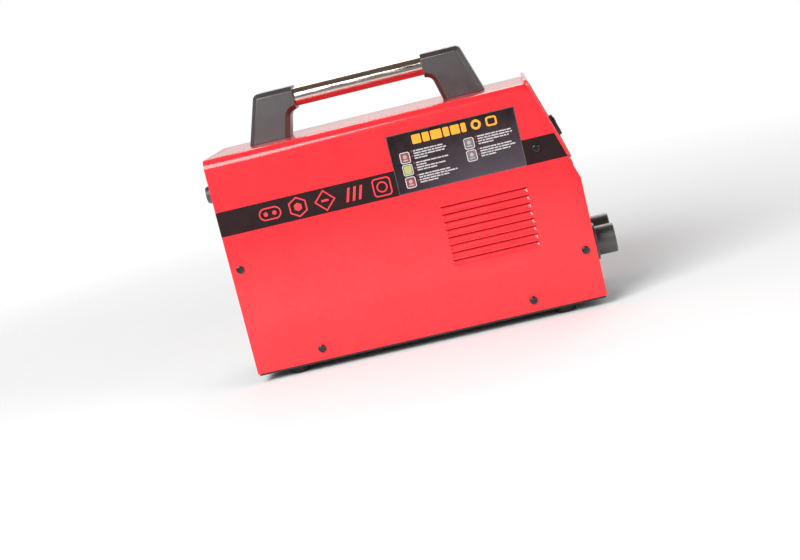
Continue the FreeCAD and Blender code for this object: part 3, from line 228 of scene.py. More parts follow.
def sharp_edge_mask(tree, radius):
    """Near 1 along sharp outer edges and 0 on flat faces."""
    bevel = tree.nodes.new("ShaderNodeBevel")
    bevel.samples = 4
    bevel.inputs["Radius"].default_value = radius
    geometry = tree.nodes.new("ShaderNodeNewGeometry")
    dot = tree.nodes.new("ShaderNodeVectorMath")
    dot.operation = "DOT_PRODUCT"
    tree.links.new(bevel.outputs["Normal"], dot.inputs[0])
    tree.links.new(geometry.outputs["Normal"], dot.inputs[1])
    return spread(tree, dot.outputs["Value"], 1.0, 0.0, EDGE_AGREES, FLAT_AGREES)


def finish(shader, rough=None, metallic=0.0, specular=0.5, coat=0.0, coat_rough=0.1):
    """Even values of the surface; rough is left out where a pattern drives it."""
    if rough is not None:
        shader.inputs["Roughness"].default_value = rough
    shader.inputs["Metallic"].default_value = metallic
    shader.inputs["Specular IOR Level"].default_value = specular
    shader.inputs["Coat Weight"].default_value = coat
    shader.inputs["Coat Roughness"].default_value = coat_rough


def painted(name, colours, rough, peel, edge_colour, specular=0.5, coat=0.0, coat_rough=0.1):
    """Powder coat: orange-peel relief, faint mottling, and lighter edges as painted highlight and rubbed paint."""
    material, tree, shader = blank(name)
    base = ramp(tree, noise(tree, 35 * MM, 4), colours)
    edge_highlight_and_wear = sharp_edge_mask(tree, 0.5 * MM)
    sheen = spread(tree, noise(tree, 18 * MM, 5), rough - 0.04, rough + 0.05)
    # Lighter along sharp outer edges: a painted edge highlight, partly rubbed paint
    tree.links.new(mix(tree, edge_highlight_and_wear, base, edge_colour), shader.inputs["Base Color"])
    tree.links.new(sheen, shader.inputs["Roughness"])
    bumps(tree, shader, [(noise(tree, 2.6 * MM, 1), peel), (noise(tree, 0.9 * MM, 1), peel * 0.2)])
    finish(shader, specular=specular, coat=coat, coat_rough=coat_rough)
    return material


def moulded(name, colours, rough, grain, size=0.5 * MM, specular=0.5, coat=0.0, coat_rough=0.1):
    """Moulded plastic: fine pebble grain and slow changes of sheen."""
    material, tree, shader = blank(name)
    sheen = spread(tree, noise(tree, 9 * MM, 4), rough - 0.05, rough + 0.06)
    tree.links.new(ramp(tree, noise(tree, 22 * MM, 4), colours), shader.inputs["Base Color"])
    tree.links.new(sheen, shader.inputs["Roughness"])
    bumps(tree, shader, [(cells(tree, size), grain), (noise(tree, 4 * MM, 2), grain * 0.8)])
    finish(shader, specular=specular, coat=coat, coat_rough=coat_rough)
    return material


def metal(name, colours, rough, brush=(1, 1, 1), scratch=0.002 * MM, size=2 * MM):
    """Bare or plated metal: cloudy tint, and fine marks that run along brush."""
    material, tree, shader = blank(name)
    tree.links.new(ramp(tree, noise(tree, 7 * MM, 4), colours), shader.inputs["Base Color"])
    marks = noise(tree, size, 4, brush)
    tree.links.new(spread(tree, marks, rough - 0.06, rough + 0.10), shader.inputs["Roughness"])
    bumps(tree, shader, [(marks, scratch)])
    finish(shader, metallic=1.0)
    return material


def clear(name, tint, rough):
    """Tinted see-through plastic with slight ripples."""
    material, tree, shader = blank(name)
    deeper = tuple(0.9 * channel for channel in tint)
    tree.links.new(ramp(tree, noise(tree, 6 * MM, 2), [tint, deeper]), shader.inputs["Base Color"])
    shader.inputs["Transmission Weight"].default_value = 1.0
    shader.inputs["IOR"].default_value = 1.5
    bumps(tree, shader, [(noise(tree, 5 * MM, 1), 0.004 * MM)])
    finish(shader, rough)
    return material


def film_with_painted_sheen(name):
    """Dark printed film with a satin face; a painted sheen makes it lighter towards its lower front corner."""
    material, tree, shader = blank(name)
    coords = tree.nodes.new("ShaderNodeTexCoord")
    split = tree.nodes.new("ShaderNodeSeparateXYZ")
    tree.links.new(coords.outputs["Object"], split.inputs["Vector"])
    # Painted sheen: the film gets lighter towards its lower front corner
    full_x = 0.4 * LABEL_LOW.x + 0.6 * LABEL_HIGH.x
    across = spread(tree, split.outputs["X"], 0.1, 1.0, LABEL_LOW.x, full_x)
    down = spread(tree, split.outputs["Z"], 1.0, 0.0, LABEL_LOW.z, LABEL_HIGH.z)
    both = tree.nodes.new("ShaderNodeMath")
    both.operation = "MULTIPLY"
    tree.links.new(across, both.inputs[0])
    tree.links.new(down, both.inputs[1])
    # The film's dark ground, with the painted sheen mixed in
    ground = mix(tree, both.outputs["Value"], (0.008, 0.001, 0.002), (0.066, 0.050, 0.064))
    clouds = spread(tree, noise(tree, 12 * MM, 5), 0.0, 0.12)
    tree.links.new(mix(tree, clouds, ground, (0.10, 0.085, 0.095)), shader.inputs["Base Color"])
    tree.links.new(spread(tree, noise(tree, 6 * MM, 3), 0.34, 0.46), shader.inputs["Roughness"])
    bumps(tree, shader, [(noise(tree, 0.5 * MM, 1), 0.003 * MM)])
    finish(shader, specular=0.2)
    return material


def circuit_board(name):
    """Solder mask over copper tracks."""
    material, tree, shader = blank(name)
    tracks = spread(tree, cells(tree, 5 * MM, "MANHATTAN"), 0.0, 1.0, 0.42, 0.5)
    base = mix(tree, tracks, (0.010, 0.11, 0.045), (0.02, 0.24, 0.09))
    tree.links.new(base, shader.inputs["Base Color"])
    tree.links.new(spread(tree, noise(tree, 8 * MM, 3), 0.22, 0.34), shader.inputs["Roughness"])
    bumps(tree, shader, [(tracks, 0.03 * MM)])
    finish(shader)
    return material


def wound(name, pitch, axis):
    """Enamelled copper wire laid side by side, with painted shade in the grooves between turns."""
    material, tree, shader = blank(name)
    turns = bands(tree, pitch, axis)
    base = ramp(tree, noise(tree, 9 * MM, 3), [(0.30, 0.09, 0.03), (0.45, 0.16, 0.06)])
    # Painted shade: darker in the grooves between the turns
    painted_groove_shade = spread(tree, turns, 0.8, 0.0, 0.0, 0.35)
    tree.links.new(mix(tree, painted_groove_shade, base, (0.05, 0.012, 0.005)), shader.inputs["Base Color"])
    tree.links.new(spread(tree, noise(tree, 3 * MM, 3), 0.25, 0.38), shader.inputs["Roughness"])
    bumps(tree, shader, [(turns, 0.35 * MM)])
    finish(shader, metallic=0.8, coat=0.5)
    return material


def sleeved_can(name):
    """Capacitor: dark shrink sleeve round the can, bare aluminium on top."""
    material, tree, shader = blank(name)
    geometry = tree.nodes.new("ShaderNodeNewGeometry")
    split = tree.nodes.new("ShaderNodeSeparateXYZ")
    tree.links.new(geometry.outputs["Normal"], split.inputs["Vector"])
    top = spread(tree, split.outputs["Z"], 0.0, 1.0, 0.93, 0.96)
    stripe = spread(tree, split.outputs["X"], 0.0, 1.0, 0.93, 0.95)
    sleeve = mix(tree, stripe, (0.010, 0.018, 0.06), (0.45, 0.47, 0.5))
    metal_top = ramp(tree, noise(tree, 4 * MM, 3), [(0.5, 0.5, 0.5), (0.66, 0.66, 0.67)])
    tree.links.new(mix(tree, top, sleeve, metal_top), shader.inputs["Base Color"])
    tree.links.new(spread(tree, noise(tree, 5 * MM, 3), 0.24, 0.36), shader.inputs["Roughness"])
    tree.links.new(top, shader.inputs["Metallic"])
    bumps(tree, shader, [(noise(tree, 3 * MM, 2), 0.01 * MM)])
    shader.inputs["Specular IOR Level"].default_value = 0.5
    return material


def ink(name, colour, rough=0.5):
    """Screen-printed ink with a faintly uneven film."""
    material, tree, shader = blank(name)
    deeper = tuple(0.86 * channel for channel in colour)
    sheen = spread(tree, noise(tree, 1.2 * MM, 2), rough - 0.06, rough + 0.06)
    tree.links.new(ramp(tree, noise(tree, 2.5 * MM, 3), [deeper, colour]), shader.inputs["Base Color"])
    tree.links.new(sheen, shader.inputs["Roughness"])
    bumps(tree, shader, [(noise(tree, 0.3 * MM, 1), 0.002 * MM)])
    finish(shader)
    return material


# Looks of the record's slots; each pair of colours is the darker and the lighter of the mottling
# The single colour given to painted lightens the sharp edges: painted edge highlight and rubbed paint
SLOT_LOOKS = {
    "red_paint": painted("red_paint", [(0.80, 0.020, 0.029), (0.86, 0.023, 0.033)], 0.28, 0.006 * MM,
                         (0.90, 0.05, 0.06), specular=0.2, coat=0.85, coat_rough=0.08),
    "dark_paint": painted("dark_paint", [(0.016, 0.016, 0.018), (0.024, 0.024, 0.027)], 0.52, 0.06 * MM,
                          (0.06, 0.06, 0.062)),
    "red_plastic": moulded("red_plastic", [(0.78, 0.018, 0.027), (0.84, 0.021, 0.031)], 0.34, 0.010 * MM,
                           coat=0.8, coat_rough=0.08),
    "black_film": moulded("black_film", [(0.015, 0.006, 0.007), (0.020, 0.008, 0.009)], 0.38, 0.003 * MM,
                          specular=0.2),
    "panel_film": film_with_painted_sheen("panel_film"),
    "smoked_window": clear("smoked_window", (0.30, 0.10, 0.10), 0.06),
    "green_lens": clear("green_lens", (0.10, 0.75, 0.18), 0.18),
    "amber_lens": clear("amber_lens", (0.95, 0.42, 0.04), 0.18),
    "black_plastic": moulded("black_plastic", [(0.013, 0.011, 0.013), (0.022, 0.019, 0.022)], 0.42, 0.030 * MM,
                             specular=1.0, coat=0.8, coat_rough=0.42),
    "knob_plastic": moulded("knob_plastic", [(0.016, 0.016, 0.017), (0.026, 0.025, 0.026)], 0.50, 0.02 * MM),
    "grey_plastic": moulded("grey_plastic", [(0.20, 0.20, 0.21), (0.26, 0.26, 0.27)], 0.40, 0.012 * MM),
    "polished_steel": metal("polished_steel", [(0.60, 0.55, 0.50), (0.68, 0.63, 0.58)], 0.12, (0.1, 1, 1)),
    "zinc_steel": metal("zinc_steel", [(0.50, 0.50, 0.47), (0.66, 0.66, 0.64)], 0.34),
    "black_steel": metal("black_steel", [(0.05, 0.05, 0.052), (0.10, 0.10, 0.105)], 0.18),
    "brass": metal("brass", [(0.66, 0.44, 0.16), (0.80, 0.58, 0.25)], 0.26, (1, 4, 4)),
    "copper": metal("copper", [(0.66, 0.29, 0.15), (0.82, 0.42, 0.26)], 0.30, (0.2, 1, 1)),
    "enamelled_copper": wound("enamelled_copper", 1.3 * MM, "Z"),
    "ferrite": moulded("ferrite", [(0.030, 0.030, 0.033), (0.055, 0.055, 0.058)], 0.66, 0.05 * MM, 0.8 * MM),
    "bare_aluminium": metal("bare_aluminium", [(0.62, 0.63, 0.64), (0.76, 0.77, 0.78)], 0.36, (0.05, 1, 1)),
    "rubber": moulded("rubber", [(0.014, 0.014, 0.014), (0.024, 0.023, 0.022)], 0.72, 0.03 * MM, 0.9 * MM),
    "board_green": circuit_board("board_green"),
    "package_black": moulded("package_black", [(0.018, 0.018, 0.019), (0.028, 0.028, 0.029)], 0.55, 0.02 * MM),
    "can_sleeve": sleeved_can("can_sleeve"),
    "relay_case": moulded("relay_case", [(0.018, 0.018, 0.020), (0.026, 0.026, 0.028)], 0.26, 0.004 * MM),
    "white_mark": moulded("white_mark", [(0.70, 0.70, 0.69), (0.80, 0.80, 0.79)], 0.40, 0.006 * MM),
}

# Looks of the print
RED_INK = ink("red_ink", (0.86, 0.03, 0.045))
AMBER_INK = ink("amber_ink", (0.90, 0.36, 0.015))
GREY_INK = ink("grey_ink", (0.52, 0.49, 0.50))
DIM_INK = ink("dim_ink", (0.17, 0.145, 0.16))
PALE_INK = ink("pale_ink", (0.40, 0.36, 0.36))
WHITE_INK = ink("white_ink", (0.80, 0.80, 0.79))
LIME_INK = ink("lime_ink", (0.42, 0.46, 0.04))
DULL_RED_INK = ink("dull_red_ink", (0.30, 0.045, 0.040))
SEGMENT_INK = ink("segment_ink", (0.30, 0.12, 0.11), 0.3)

for part in frame["record"]["subparts"]:
    for material_slot in NODES[part["node"]].material_slots:
        material_slot.material = SLOT_LOOKS[part["material_slot"]]


# Building helpers

def make_piece(name, form, material, body, replaced=()):
    """Turn a bmesh into a piece of the object that rides on a body."""
    mesh = bpy.data.meshes.new(name)
    form.to_mesh(mesh)
    form.free()
    mesh.materials.append(material)
    piece = bpy.data.objects.new(name, mesh)
    bpy.context.scene.collection.objects.link(piece)
    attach(piece, body)
    if replaced:
        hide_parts(*replaced)
    return piece


def shade(piece, angle):
    """Smooth faces, with sharp edges past an angle in degrees."""
    mesh = piece.data
    mesh.polygons.foreach_set("use_smooth", [True] * len(mesh.polygons))
    mesh.set_sharp_from_angle(angle=math.radians(angle))


def turned(points, angle, about=(0, 0)):
    """Points turned in their plane."""
    c, s = math.cos(angle), math.sin(angle)
    return [(about[0] + (u - about[0]) * c - (v - about[1]) * s,
             about[1] + (u - about[0]) * s + (v - about[1]) * c) for u, v in points]


def circle(u, v, radius, steps=40):
    """Round outline, or a regular polygon where steps are few."""
    return [(u + radius * math.cos(2 * math.pi * k / steps), v + radius * math.sin(2 * math.pi * k / steps))
            for k in range(steps)]


def rectangle(u, v, width, height):
    """Rectangle about its centre."""
    return [(u - width / 2, v - height / 2), (u + width / 2, v - height / 2),
            (u + width / 2, v + height / 2), (u - width / 2, v + height / 2)]


def rounded(u, v, width, height, radius, steps=6):
    """Rectangle with round corners."""
    points = []
    for corner, (side_u, side_v) in enumerate(((1, 1), (-1, 1), (-1, -1), (1, -1))):
        for k in range(steps + 1):
            turn = math.pi / 2 * (corner + k / steps)
            points.append((u + side_u * (width / 2 - radius) + radius * math.cos(turn),
                           v + side_v * (height / 2 - radius) + radius * math.sin(turn)))
    return points


def walls(form, first, second):
    """Quads between two closed loops."""
    for k in range(len(first)):
        nxt = (k + 1) % len(first)
        form.faces.new((first[k], first[nxt], second[nxt], second[k]))


def prism(form, outline, place, thick=INK):
    """Closed flat shape standing thick above the surface that place describes."""
    low = [form.verts.new(place(u, v, -SUNK)) for u, v in outline]
    high = [form.verts.new(place(u, v, thick)) for u, v in outline]
    form.faces.new(high)
    form.faces.new(low[::-1])
    walls(form, low, high)


def ring(form, outer, inner, place, thick=INK):
    """Closed flat ring between two outlines with equally many points."""
    loops = [[form.verts.new(place(u, v, n)) for u, v in outline]
             for outline in (outer, inner) for n in (-SUNK, thick)]
    outer_low, outer_high, inner_low, inner_high = loops
    walls(form, outer_low, outer_high)
    walls(form, outer_high, inner_high)
    walls(form, inner_high, inner_low)
    walls(form, inner_low, outer_low)


def printed(name, draw, places, material, body="case"):
    """Draw one colour of print at each place as a piece."""
    form = bmesh.new()
    for place in places:
        draw(form, place)
    bmesh.ops.recalc_face_normals(form, faces=form.faces)
    return make_piece(name, form, material, body)


# Cover

def louvre_rows(top_z):
    """Heights and inward depths up one louvre, from its bend to its free edge."""
    low_z = top_z - LOUVRE_H
    shares = [0, 0.05, 0.12, 0.22, 0.36, 0.55, 0.78, 1.0]  # closer together at the bend
    if low_z < KNEE_Z < top_z:
        shares = sorted(shares + [(KNEE_Z - low_z) / LOUVRE_H])
    full = math.hypot(1, LOUVRE_SOFTNESS) - LOUVRE_SOFTNESS
    return [(low_z + LOUVRE_H * u, LOUVRE_DEPTH * (math.hypot(u, LOUVRE_SOFTNESS) - LOUVRE_SOFTNESS) / full)
            for u in shares]


def louvre_share(x):
    """How much of the full depth a louvre has at x: 0 outside it, with quarter-round ends."""
    inside = min(x - LOUVRE_X[0], LOUVRE_X[1] - x)
    if inside <= 0:
        return 0.0
    if inside >= LOUVRE_END:
        return 1.0
    return math.sqrt(1 - (1 - inside / LOUVRE_END) ** 2)


def cover_section():
    """Half the cover's section, from its foot on the -Y side to the roof's middle.

    It comes in runs of (y, z, depth, drop): how far a louvre goes in there, and how far its free edge drops.
    """
    runs = []
    wall = [(-HALF_W, LOW_Z, 0.0, 0.0)]
    for row in reversed(range(LOUVRE_COUNT)):
        wall += [(-HALF_W, z, depth, 0.0) for z, depth in louvre_rows(LOUVRE_TOP_Z - row * LOUVRE_PITCH)]
        wall[-1] = (*wall[-1][:3], LOUVRE_GAP)
        runs.append(wall)
        wall = [(-HALF_W, LOUVRE_TOP_Z - row * LOUVRE_PITCH, 0.0, 0.0)]
    wall += [(-HALF_W, z, 0.0, 0.0) for z in WALL_ROWS]
    for k in range(BEND_STEPS + 1):
        turn = math.pi / 2 * k / BEND_STEPS
        in_y, down_z = BEND_R * (1 - math.cos(turn)), BEND_R * (1 - math.sin(turn))
        wall.append((-HALF_W + in_y, TOP_Z - down_z, 0.0, 0.0))
    wall += [(y, TOP_Z, 0.0, 0.0) for y in ROOF_ROWS]
    runs.append(wall)
    return runs


def cover_columns():
    """Places along X from the rear up to just past the louvres' front ends."""
    ends = [0, 0.06, 0.2, 0.4, 0.65, 1.0]  # closer together where a louvre's end is steep
    start, stop = LOUVRE_X
    straight = stop - start - 2 * LOUVRE_END
    places = [REAR_X + (start - REAR_X) * k / REAR_COLUMNS for k in range(REAR_COLUMNS)]
    places += [start - LOUVRE_MARGIN] + [start + LOUVRE_END * share for share in ends]
    places += [start + LOUVRE_END + straight * k / LOUVRE_COLUMNS for k in range(1, LOUVRE_COLUMNS)]
    places += [stop - LOUVRE_END * share for share in reversed(ends)] + [stop + LOUVRE_MARGIN]
    return places


def cover():
    """Folded sheet cover with pressed louvres on both sides."""
    form = bmesh.new()
    fixed = cover_columns()
    for run in cover_section():
        rows = []
        for y, z, depth, drop in run:
            places = fixed + [fixed[-1] + (front_x(z) - fixed[-1]) * share for share in FRONT_COLUMNS]
            pressed = [(x, louvre_share(x)) for x in places]
            rows.append([form.verts.new((x, y + depth * share, z - drop * share)) for x, share in pressed])
        for lower, upper in zip(rows, rows[1:]):
            for k in range(len(lower) - 1):
                form.faces.new((lower[k], lower[k + 1], upper[k + 1], upper[k]))
    bmesh.ops.remove_doubles(form, verts=form.verts, dist=WELD)
    other = bmesh.ops.duplicate(form, geom=form.verts[:] + form.edges[:] + form.faces[:])["geom"]
    bmesh.ops.scale(form, vec=(1, -1, 1), verts=[g for g in other if isinstance(g, bmesh.types.BMVert)])
    bmesh.ops.reverse_faces(form, faces=[g for g in other if isinstance(g, bmesh.types.BMFace)])
    bmesh.ops.remove_doubles(form, verts=form.verts, dist=WELD)
    thicken(form, SHEET)
    round_rims(form)
    piece = make_piece("cover_shell", form, SLOT_LOOKS["red_paint"], "case", ["cover"])
    shade(piece, 38)
    return piece


def thicken(form, thickness):
    """Give an open sheet its thickness on the inside, with a rim."""
    mesh = bpy.data.meshes.new("sheet")
    form.to_mesh(mesh)
    sheet = bpy.data.objects.new("sheet", mesh)
    bpy.context.scene.collection.objects.link(sheet)
    solid = sheet.modifiers.new("solid", "SOLIDIFY")
    solid.thickness = thickness
    solid.offset = -1
    solid.use_even_offset = True
    bpy.context.view_layer.update()
    thick = bpy.data.meshes.new_from_object(sheet.evaluated_get(bpy.context.evaluated_depsgraph_get()))
    form.clear()
    form.from_mesh(thick)
    bpy.data.objects.remove(sheet)
    bpy.data.meshes.remove(mesh)
    bpy.data.meshes.remove(thick)


def round_rims(form):
    """Break the sharp edges of the cover's outer rims."""
    rims = []
    for edge in form.edges:
        if len(edge.link_faces) != 2 or edge.calc_face_angle(0) < RIM_ANGLE:
            continue
        a, b = (vertex.co for vertex in edge.verts)
        rear = max(a.x, b.x) < REAR_X + RIM_REACH
        low = max(a.z, b.z) < LOW_Z + RIM_REACH
        front = min(a.x - front_x(a.z), b.x - front_x(b.z)) > -RIM_REACH
        if rear or low or front:
            rims.append(edge)
    bmesh.ops.bevel(form, geom=rims, offset=EDGE_R, segments=2, profile=0.5, affect="EDGES",
                    clamp_overlap=True)


# Handle

def fillet(corner, before, after, radius, steps=8):
    """Arc that rounds a corner between its two neighbours."""
    if radius == 0:
        return [corner]
    into = (Vector(before) - Vector(corner)).normalized()
    out = (Vector(after) - Vector(corner)).normalized()
    half = math.acos(max(-1, min(1, into.dot(out)))) / 2
    centre = Vector(corner) + (into + out).normalized() * (radius / math.sin(half))
    start = Vector(corner) + into * (radius / math.tan(half)) - centre
    end = Vector(corner) + out * (radius / math.tan(half)) - centre
    sweep = start.angle_signed(end)
    points = []
    for k in range(steps + 1):
        turn = -sweep * k / steps
        c, s = math.cos(turn), math.sin(turn)
        points.append((centre.x + start.x * c - start.y * s, centre.y + start.x * s + start.y * c))
    return points


def post_outline(low, high):
    """Outline of the front post from its outer foot over the shoulder and collar to its inner foot."""
    foot_z, top_z = low.z, high.z
    outer, collar = high.x, low.x
    inner = outer - POST_FOOT_W
    neck_z = top_z - POST_COLLAR_H
    corners = [((outer, foot_z), 0), ((outer - POST_TOP_LEAN, top_z), POST_SHOULDER_R), ((collar, top_z), 0),
               ((collar, neck_z), 0), ((inner - POST_NECK_LEAN, neck_z), POST_THROAT_R), ((inner, foot_z), 0)]
    points = []
    for k, (corner, radius) in enumerate(corners):
        if radius == 0:
            points.append(corner)
        else:
            points += fillet(corner, corners[k - 1][0], corners[k + 1][0], radius)
    return points, collar


def inset(points, amount, fixed_x):
    """Outline moved inwards; its feet stay on the ground and its collar end stays in its plane."""
    moved = []
    for k, point in enumerate(points):
        sides = []
        for a, b in ((k - 1, k), (k, k + 1)):
            if a < 0 or b == len(points):
                sides.append((Vector((0, 1)), 0.0))
                continue
            along = (Vector(points[b]) - Vector(points[a])).normalized()
            at_collar = abs(points[a][0] - fixed_x) < SUNK and abs(points[b][0] - fixed_x) < SUNK
            sides.append((Vector((-along.y, along.x)), 0.0 if at_collar else amount))
        (n1, d1), (n2, d2) = sides
        cross = n1.x * n2.y - n1.y * n2.x
        if abs(cross) < 0.001:
            step = n1 * d1
        else:
            step = Vector(((d1 * n2.y - d2 * n1.y) / cross, (n1.x * d2 - n2.x * d1) / cross))
        moved.append((point[0] + step.x, point[1] + step.y))
    return moved


def handle_post(name, side):
    """Moulded post: leaning outline, chamfered round both faces; side is 1 at the front, -1 at the rear."""
    low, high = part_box("handle_post_front")
    outline, collar = post_outline(low, high)
    half = high.y
    middle = (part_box("handle_post_rear")[0].x + high.x) / 2
    profile = [(POST_EDGE, half), (0.0, half - POST_EDGE), (0.0, 0.0)]
    profile += [(amount, -y) for amount, y in reversed(profile[:-1])]
    form = bmesh.new()
    rings = []
    for amount, y in profile:
        shape = inset(outline, amount, collar)
        rings.append([form.verts.new((middle + side * (x - middle), -y, z)) for x, z in shape])
    for first, second in zip(rings, rings[1:]):
        for k in range(len(first) - 1):
            form.faces.new((first[k], first[k + 1], second[k + 1], second[k]))
    form.faces.new(rings[0][::-1])
    form.faces.new(rings[-1])
    form.faces.new([r[0] for r in rings] + [r[-1] for r in reversed(rings)])
    bmesh.ops.recalc_face_normals(form, faces=form.faces)
    piece = make_piece(name + "_moulding", form, SLOT_LOOKS["black_plastic"], "case", [name])
    soften = piece.modifiers.new("soften", "BEVEL")
    soften.width = POST_SOFT_R
    soften.segments = 3
    soften.angle_limit = POST_SOFT_ANGLE
    shade(piece, 30)
    return piece


# Printed graphics on the sides

HEADING_Z = 207.3 * MM
HEADING_X = 29.0 * MM
HEADING_BLOCKS = (9.0, 7.0, 11.0, 6.0, 9.0, 5.0)
HEADING_GAP = 1.6
HEADING_H = 9.2 * MM
HEADING_RING_X = 94 * MM
HEADING_TILE_X = 109.5 * MM

# In millimetres: tiles by their centres, each block of text by its start and the lengths of its lines, and
# the words that a line is broken into
TILES = [(18.2, 191.2), (18.2, 178.9), (18.2, 166.2), (83.4, 190.6), (83.4, 178.2)]
TEXT_BLOCKS = [((27.5, 196.2), (30, 33, 31, 13)), ((27.5, 184.2), (33, 12, 30, 20)),
               ((27.5, 171.8), (32, 39, 30, 19)), ((92.5, 195.6), (34, 36, 31, 15)),
               ((92.5, 183.2), (34, 36, 30, 17))]
LINE_PITCH = 2.5
WORD_SHORTEST = 2.2
WORD_STEP = 1.7
WORD_GAP = 0.7
LINE_END = 1.5
BULLET_BEFORE = 1.6
LINE_H = 1.25 * MM

MARK_Z = 168.6 * MM
MARK_LINE = 1.4 * MM


def side_places(low_x, high_x):
    """The -Y side as it is, and the +Y side turned so that it reads the same way round."""
    def minus_y(u, v, n):
        return Vector((u, -FILM_Y - n, v))

    def plus_y(u, v, n):
        return Vector((low_x + high_x - u, FILM_Y + n, v))
    return [minus_y, plus_y]


def label_frame(form, place):
    """Thin line just inside the label's edge."""
    u, v = (LABEL_LOW.x + LABEL_HIGH.x) / 2, (LABEL_LOW.z + LABEL_HIGH.z) / 2
    width, height = LABEL_HIGH.x - LABEL_LOW.x, LABEL_HIGH.z - LABEL_LOW.z
    ring(form, rectangle(u, v, width - 0.6 * MM, height - 0.6 * MM),
         rectangle(u, v, width - 1.2 * MM, height - 1.2 * MM), place)


def label_heading(form, place):
    """Row of plain blocks, then a plain ring and a plain tile."""
    x = HEADING_X
    for width in HEADING_BLOCKS:
        prism(form, rounded(x + width * MM / 2, HEADING_Z, width * MM, HEADING_H, 1.0 * MM), place)
        x += (width + HEADING_GAP) * MM
    ring(form, circle(HEADING_RING_X, HEADING_Z, 5.0 * MM), circle(HEADING_RING_X, HEADING_Z, 2.6 * MM), place)
    ring(form, rounded(HEADING_TILE_X, HEADING_Z, 11 * MM, 9.6 * MM, 2.4 * MM),
         rounded(HEADING_TILE_X, HEADING_Z, 7.4 * MM, 6.0 * MM, 1.2 * MM), place)


def tile_frames(form, place):
    """Pale frame round each tile."""
    for x, z in TILES:
        ring(form, rounded(x * MM, z * MM, 10.4 * MM, 11.4 * MM, 2.2 * MM),
             rounded(x * MM, z * MM, 8.4 * MM, 9.4 * MM, 1.3 * MM), place)


def tile_fills(form, place, tiles):
    """Coloured ground of the given tiles."""
    for x, z in tiles:
        prism(form, rounded(x * MM, z * MM, 7.4 * MM, 8.4 * MM, 0.9 * MM), place)


def tile_signs(form, place):
    """Plain disc over a bar, on top of each tile's fill."""
    for x, z in TILES:
        prism(form, circle(x * MM, (z + 0.9) * MM, 1.9 * MM), place, 2 * INK)
        prism(form, rounded(x * MM, (z - 2.6) * MM, 5.0 * MM, 1.2 * MM, 0.5 * MM), place, 2 * INK)


def text_bars(form, place):
    """Grey bars in place of text, broken into word lengths."""
    for block, ((x, z), lengths) in enumerate(TEXT_BLOCKS):
        for line, length in enumerate(lengths):
            at = 0.0
            word = 0
            while at < length - LINE_END:
                run = min(WORD_SHORTEST + WORD_STEP * ((block * 5 + line * 3 + word * 7) % 4), length - at)
                prism(form, rectangle((x + at + run / 2) * MM, (z - LINE_PITCH * line) * MM, run * MM, LINE_H),
                      place)
                at += run + WORD_GAP
                word += 1


def text_bullets(form, place):
    """Two small squares before the lines of each block."""
    for (x, z), lengths in TEXT_BLOCKS:
        for line in (0, len(lengths) - 2):
            prism(form, rectangle((x - BULLET_BEFORE) * MM, (z - LINE_PITCH * line) * MM, 1.3 * MM, 1.5 * MM),
                  place)


def capsule_mark(form, place, x):
    """Capsule outline round two discs."""
    width, height = 23 * MM, 13 * MM
    ring(form, rounded(x, MARK_Z, width, height, 6.4 * MM),
         rounded(x, MARK_Z, width - 2 * MARK_LINE, height - 2 * MARK_LINE, 5 * MM), place)
    for offset in (-4.5, 4.5):
        prism(form, circle(x + offset * MM, MARK_Z, 2.2 * MM), place)


def hexagon_mark(form, place, x):
    """Hexagon outline round a smaller hexagon."""
    def hexagon(radius):
        return turned(circle(x, MARK_Z, radius, 6), math.pi / 6, (x, MARK_Z))
    ring(form, hexagon(10.5 * MM), hexagon(10.5 * MM - 1.2 * MARK_LINE), place)
    prism(form, hexagon(4.4 * MM), place)


def diamond_mark(form, place, x):
    """Diamond outline round a bar."""
    ring(form, circle(x, MARK_Z, 11 * MM, 4), circle(x, MARK_Z, 11 * MM - 1.4 * MARK_LINE, 4), place)
    prism(form, rectangle(x, MARK_Z, 7.5 * MM, 2.2 * MM), place)


def slashes_mark(form, place, x):
    """Three leaning strokes; x is the first one's middle."""
    near, far, half = 0.8 * MM, 3.4 * MM, 7 * MM
    for k in range(3):
        u = x + 6.4 * MM * k
        prism(form, [(u - far, MARK_Z - half), (u - near, MARK_Z - half), (u + far, MARK_Z + half),
                     (u + near, MARK_Z + half)], place)


def framed_ring_mark(form, place, x):
    """Square outline with round corners, round a ring."""
    width = 19 * MM
    ring(form, rounded(x, MARK_Z, width, width, 4 * MM),
         rounded(x, MARK_Z, width - 2 * MARK_LINE, width - 2 * MARK_LINE, 2.8 * MM), place)
    ring(form, circle(x, MARK_Z, 5.6 * MM), circle(x, MARK_Z, 5.6 * MM - MARK_LINE), place)


def band_marks(form, place):
    """Five plain outlined shapes along the rear part of the band."""
    capsule_mark(form, place, -127 * MM)
    hexagon_mark(form, place, -98 * MM)
    diamond_mark(form, place, -70 * MM)
    slashes_mark(form, place, -46 * MM)
    framed_ring_mark(form, place, -11 * MM)


def side_graphics():
    """All print on both sides, one piece for each colour."""
    label = side_places(LABEL_LOW.x, LABEL_HIGH.x)
    band = side_places(BAND_LOW.x, LABEL_LOW.x)
    printed("label_frame_print", label_frame, label, DIM_INK)
    printed("label_heading_print", label_heading, label, AMBER_INK)
    printed("label_tile_frames", tile_frames, label, GREY_INK)
    printed("label_red_tiles", lambda form, place: tile_fills(form, place, TILES[0:3:2]), label, DULL_RED_INK)
    printed("label_lime_tile", lambda form, place: tile_fills(form, place, TILES[1:2]), label, LIME_INK)
    printed("label_grey_tiles", lambda form, place: tile_fills(form, place, TILES[3:]), label, DIM_INK)
    printed("label_tile_signs", tile_signs, label, PALE_INK)
    printed("label_text_bars", text_bars, label, GREY_INK)
    printed("label_bullets", text_bullets, label, DULL_RED_INK)
    printed("band_marks_print", band_marks, band, RED_INK)


# Control panel graphics, in the slope's frame

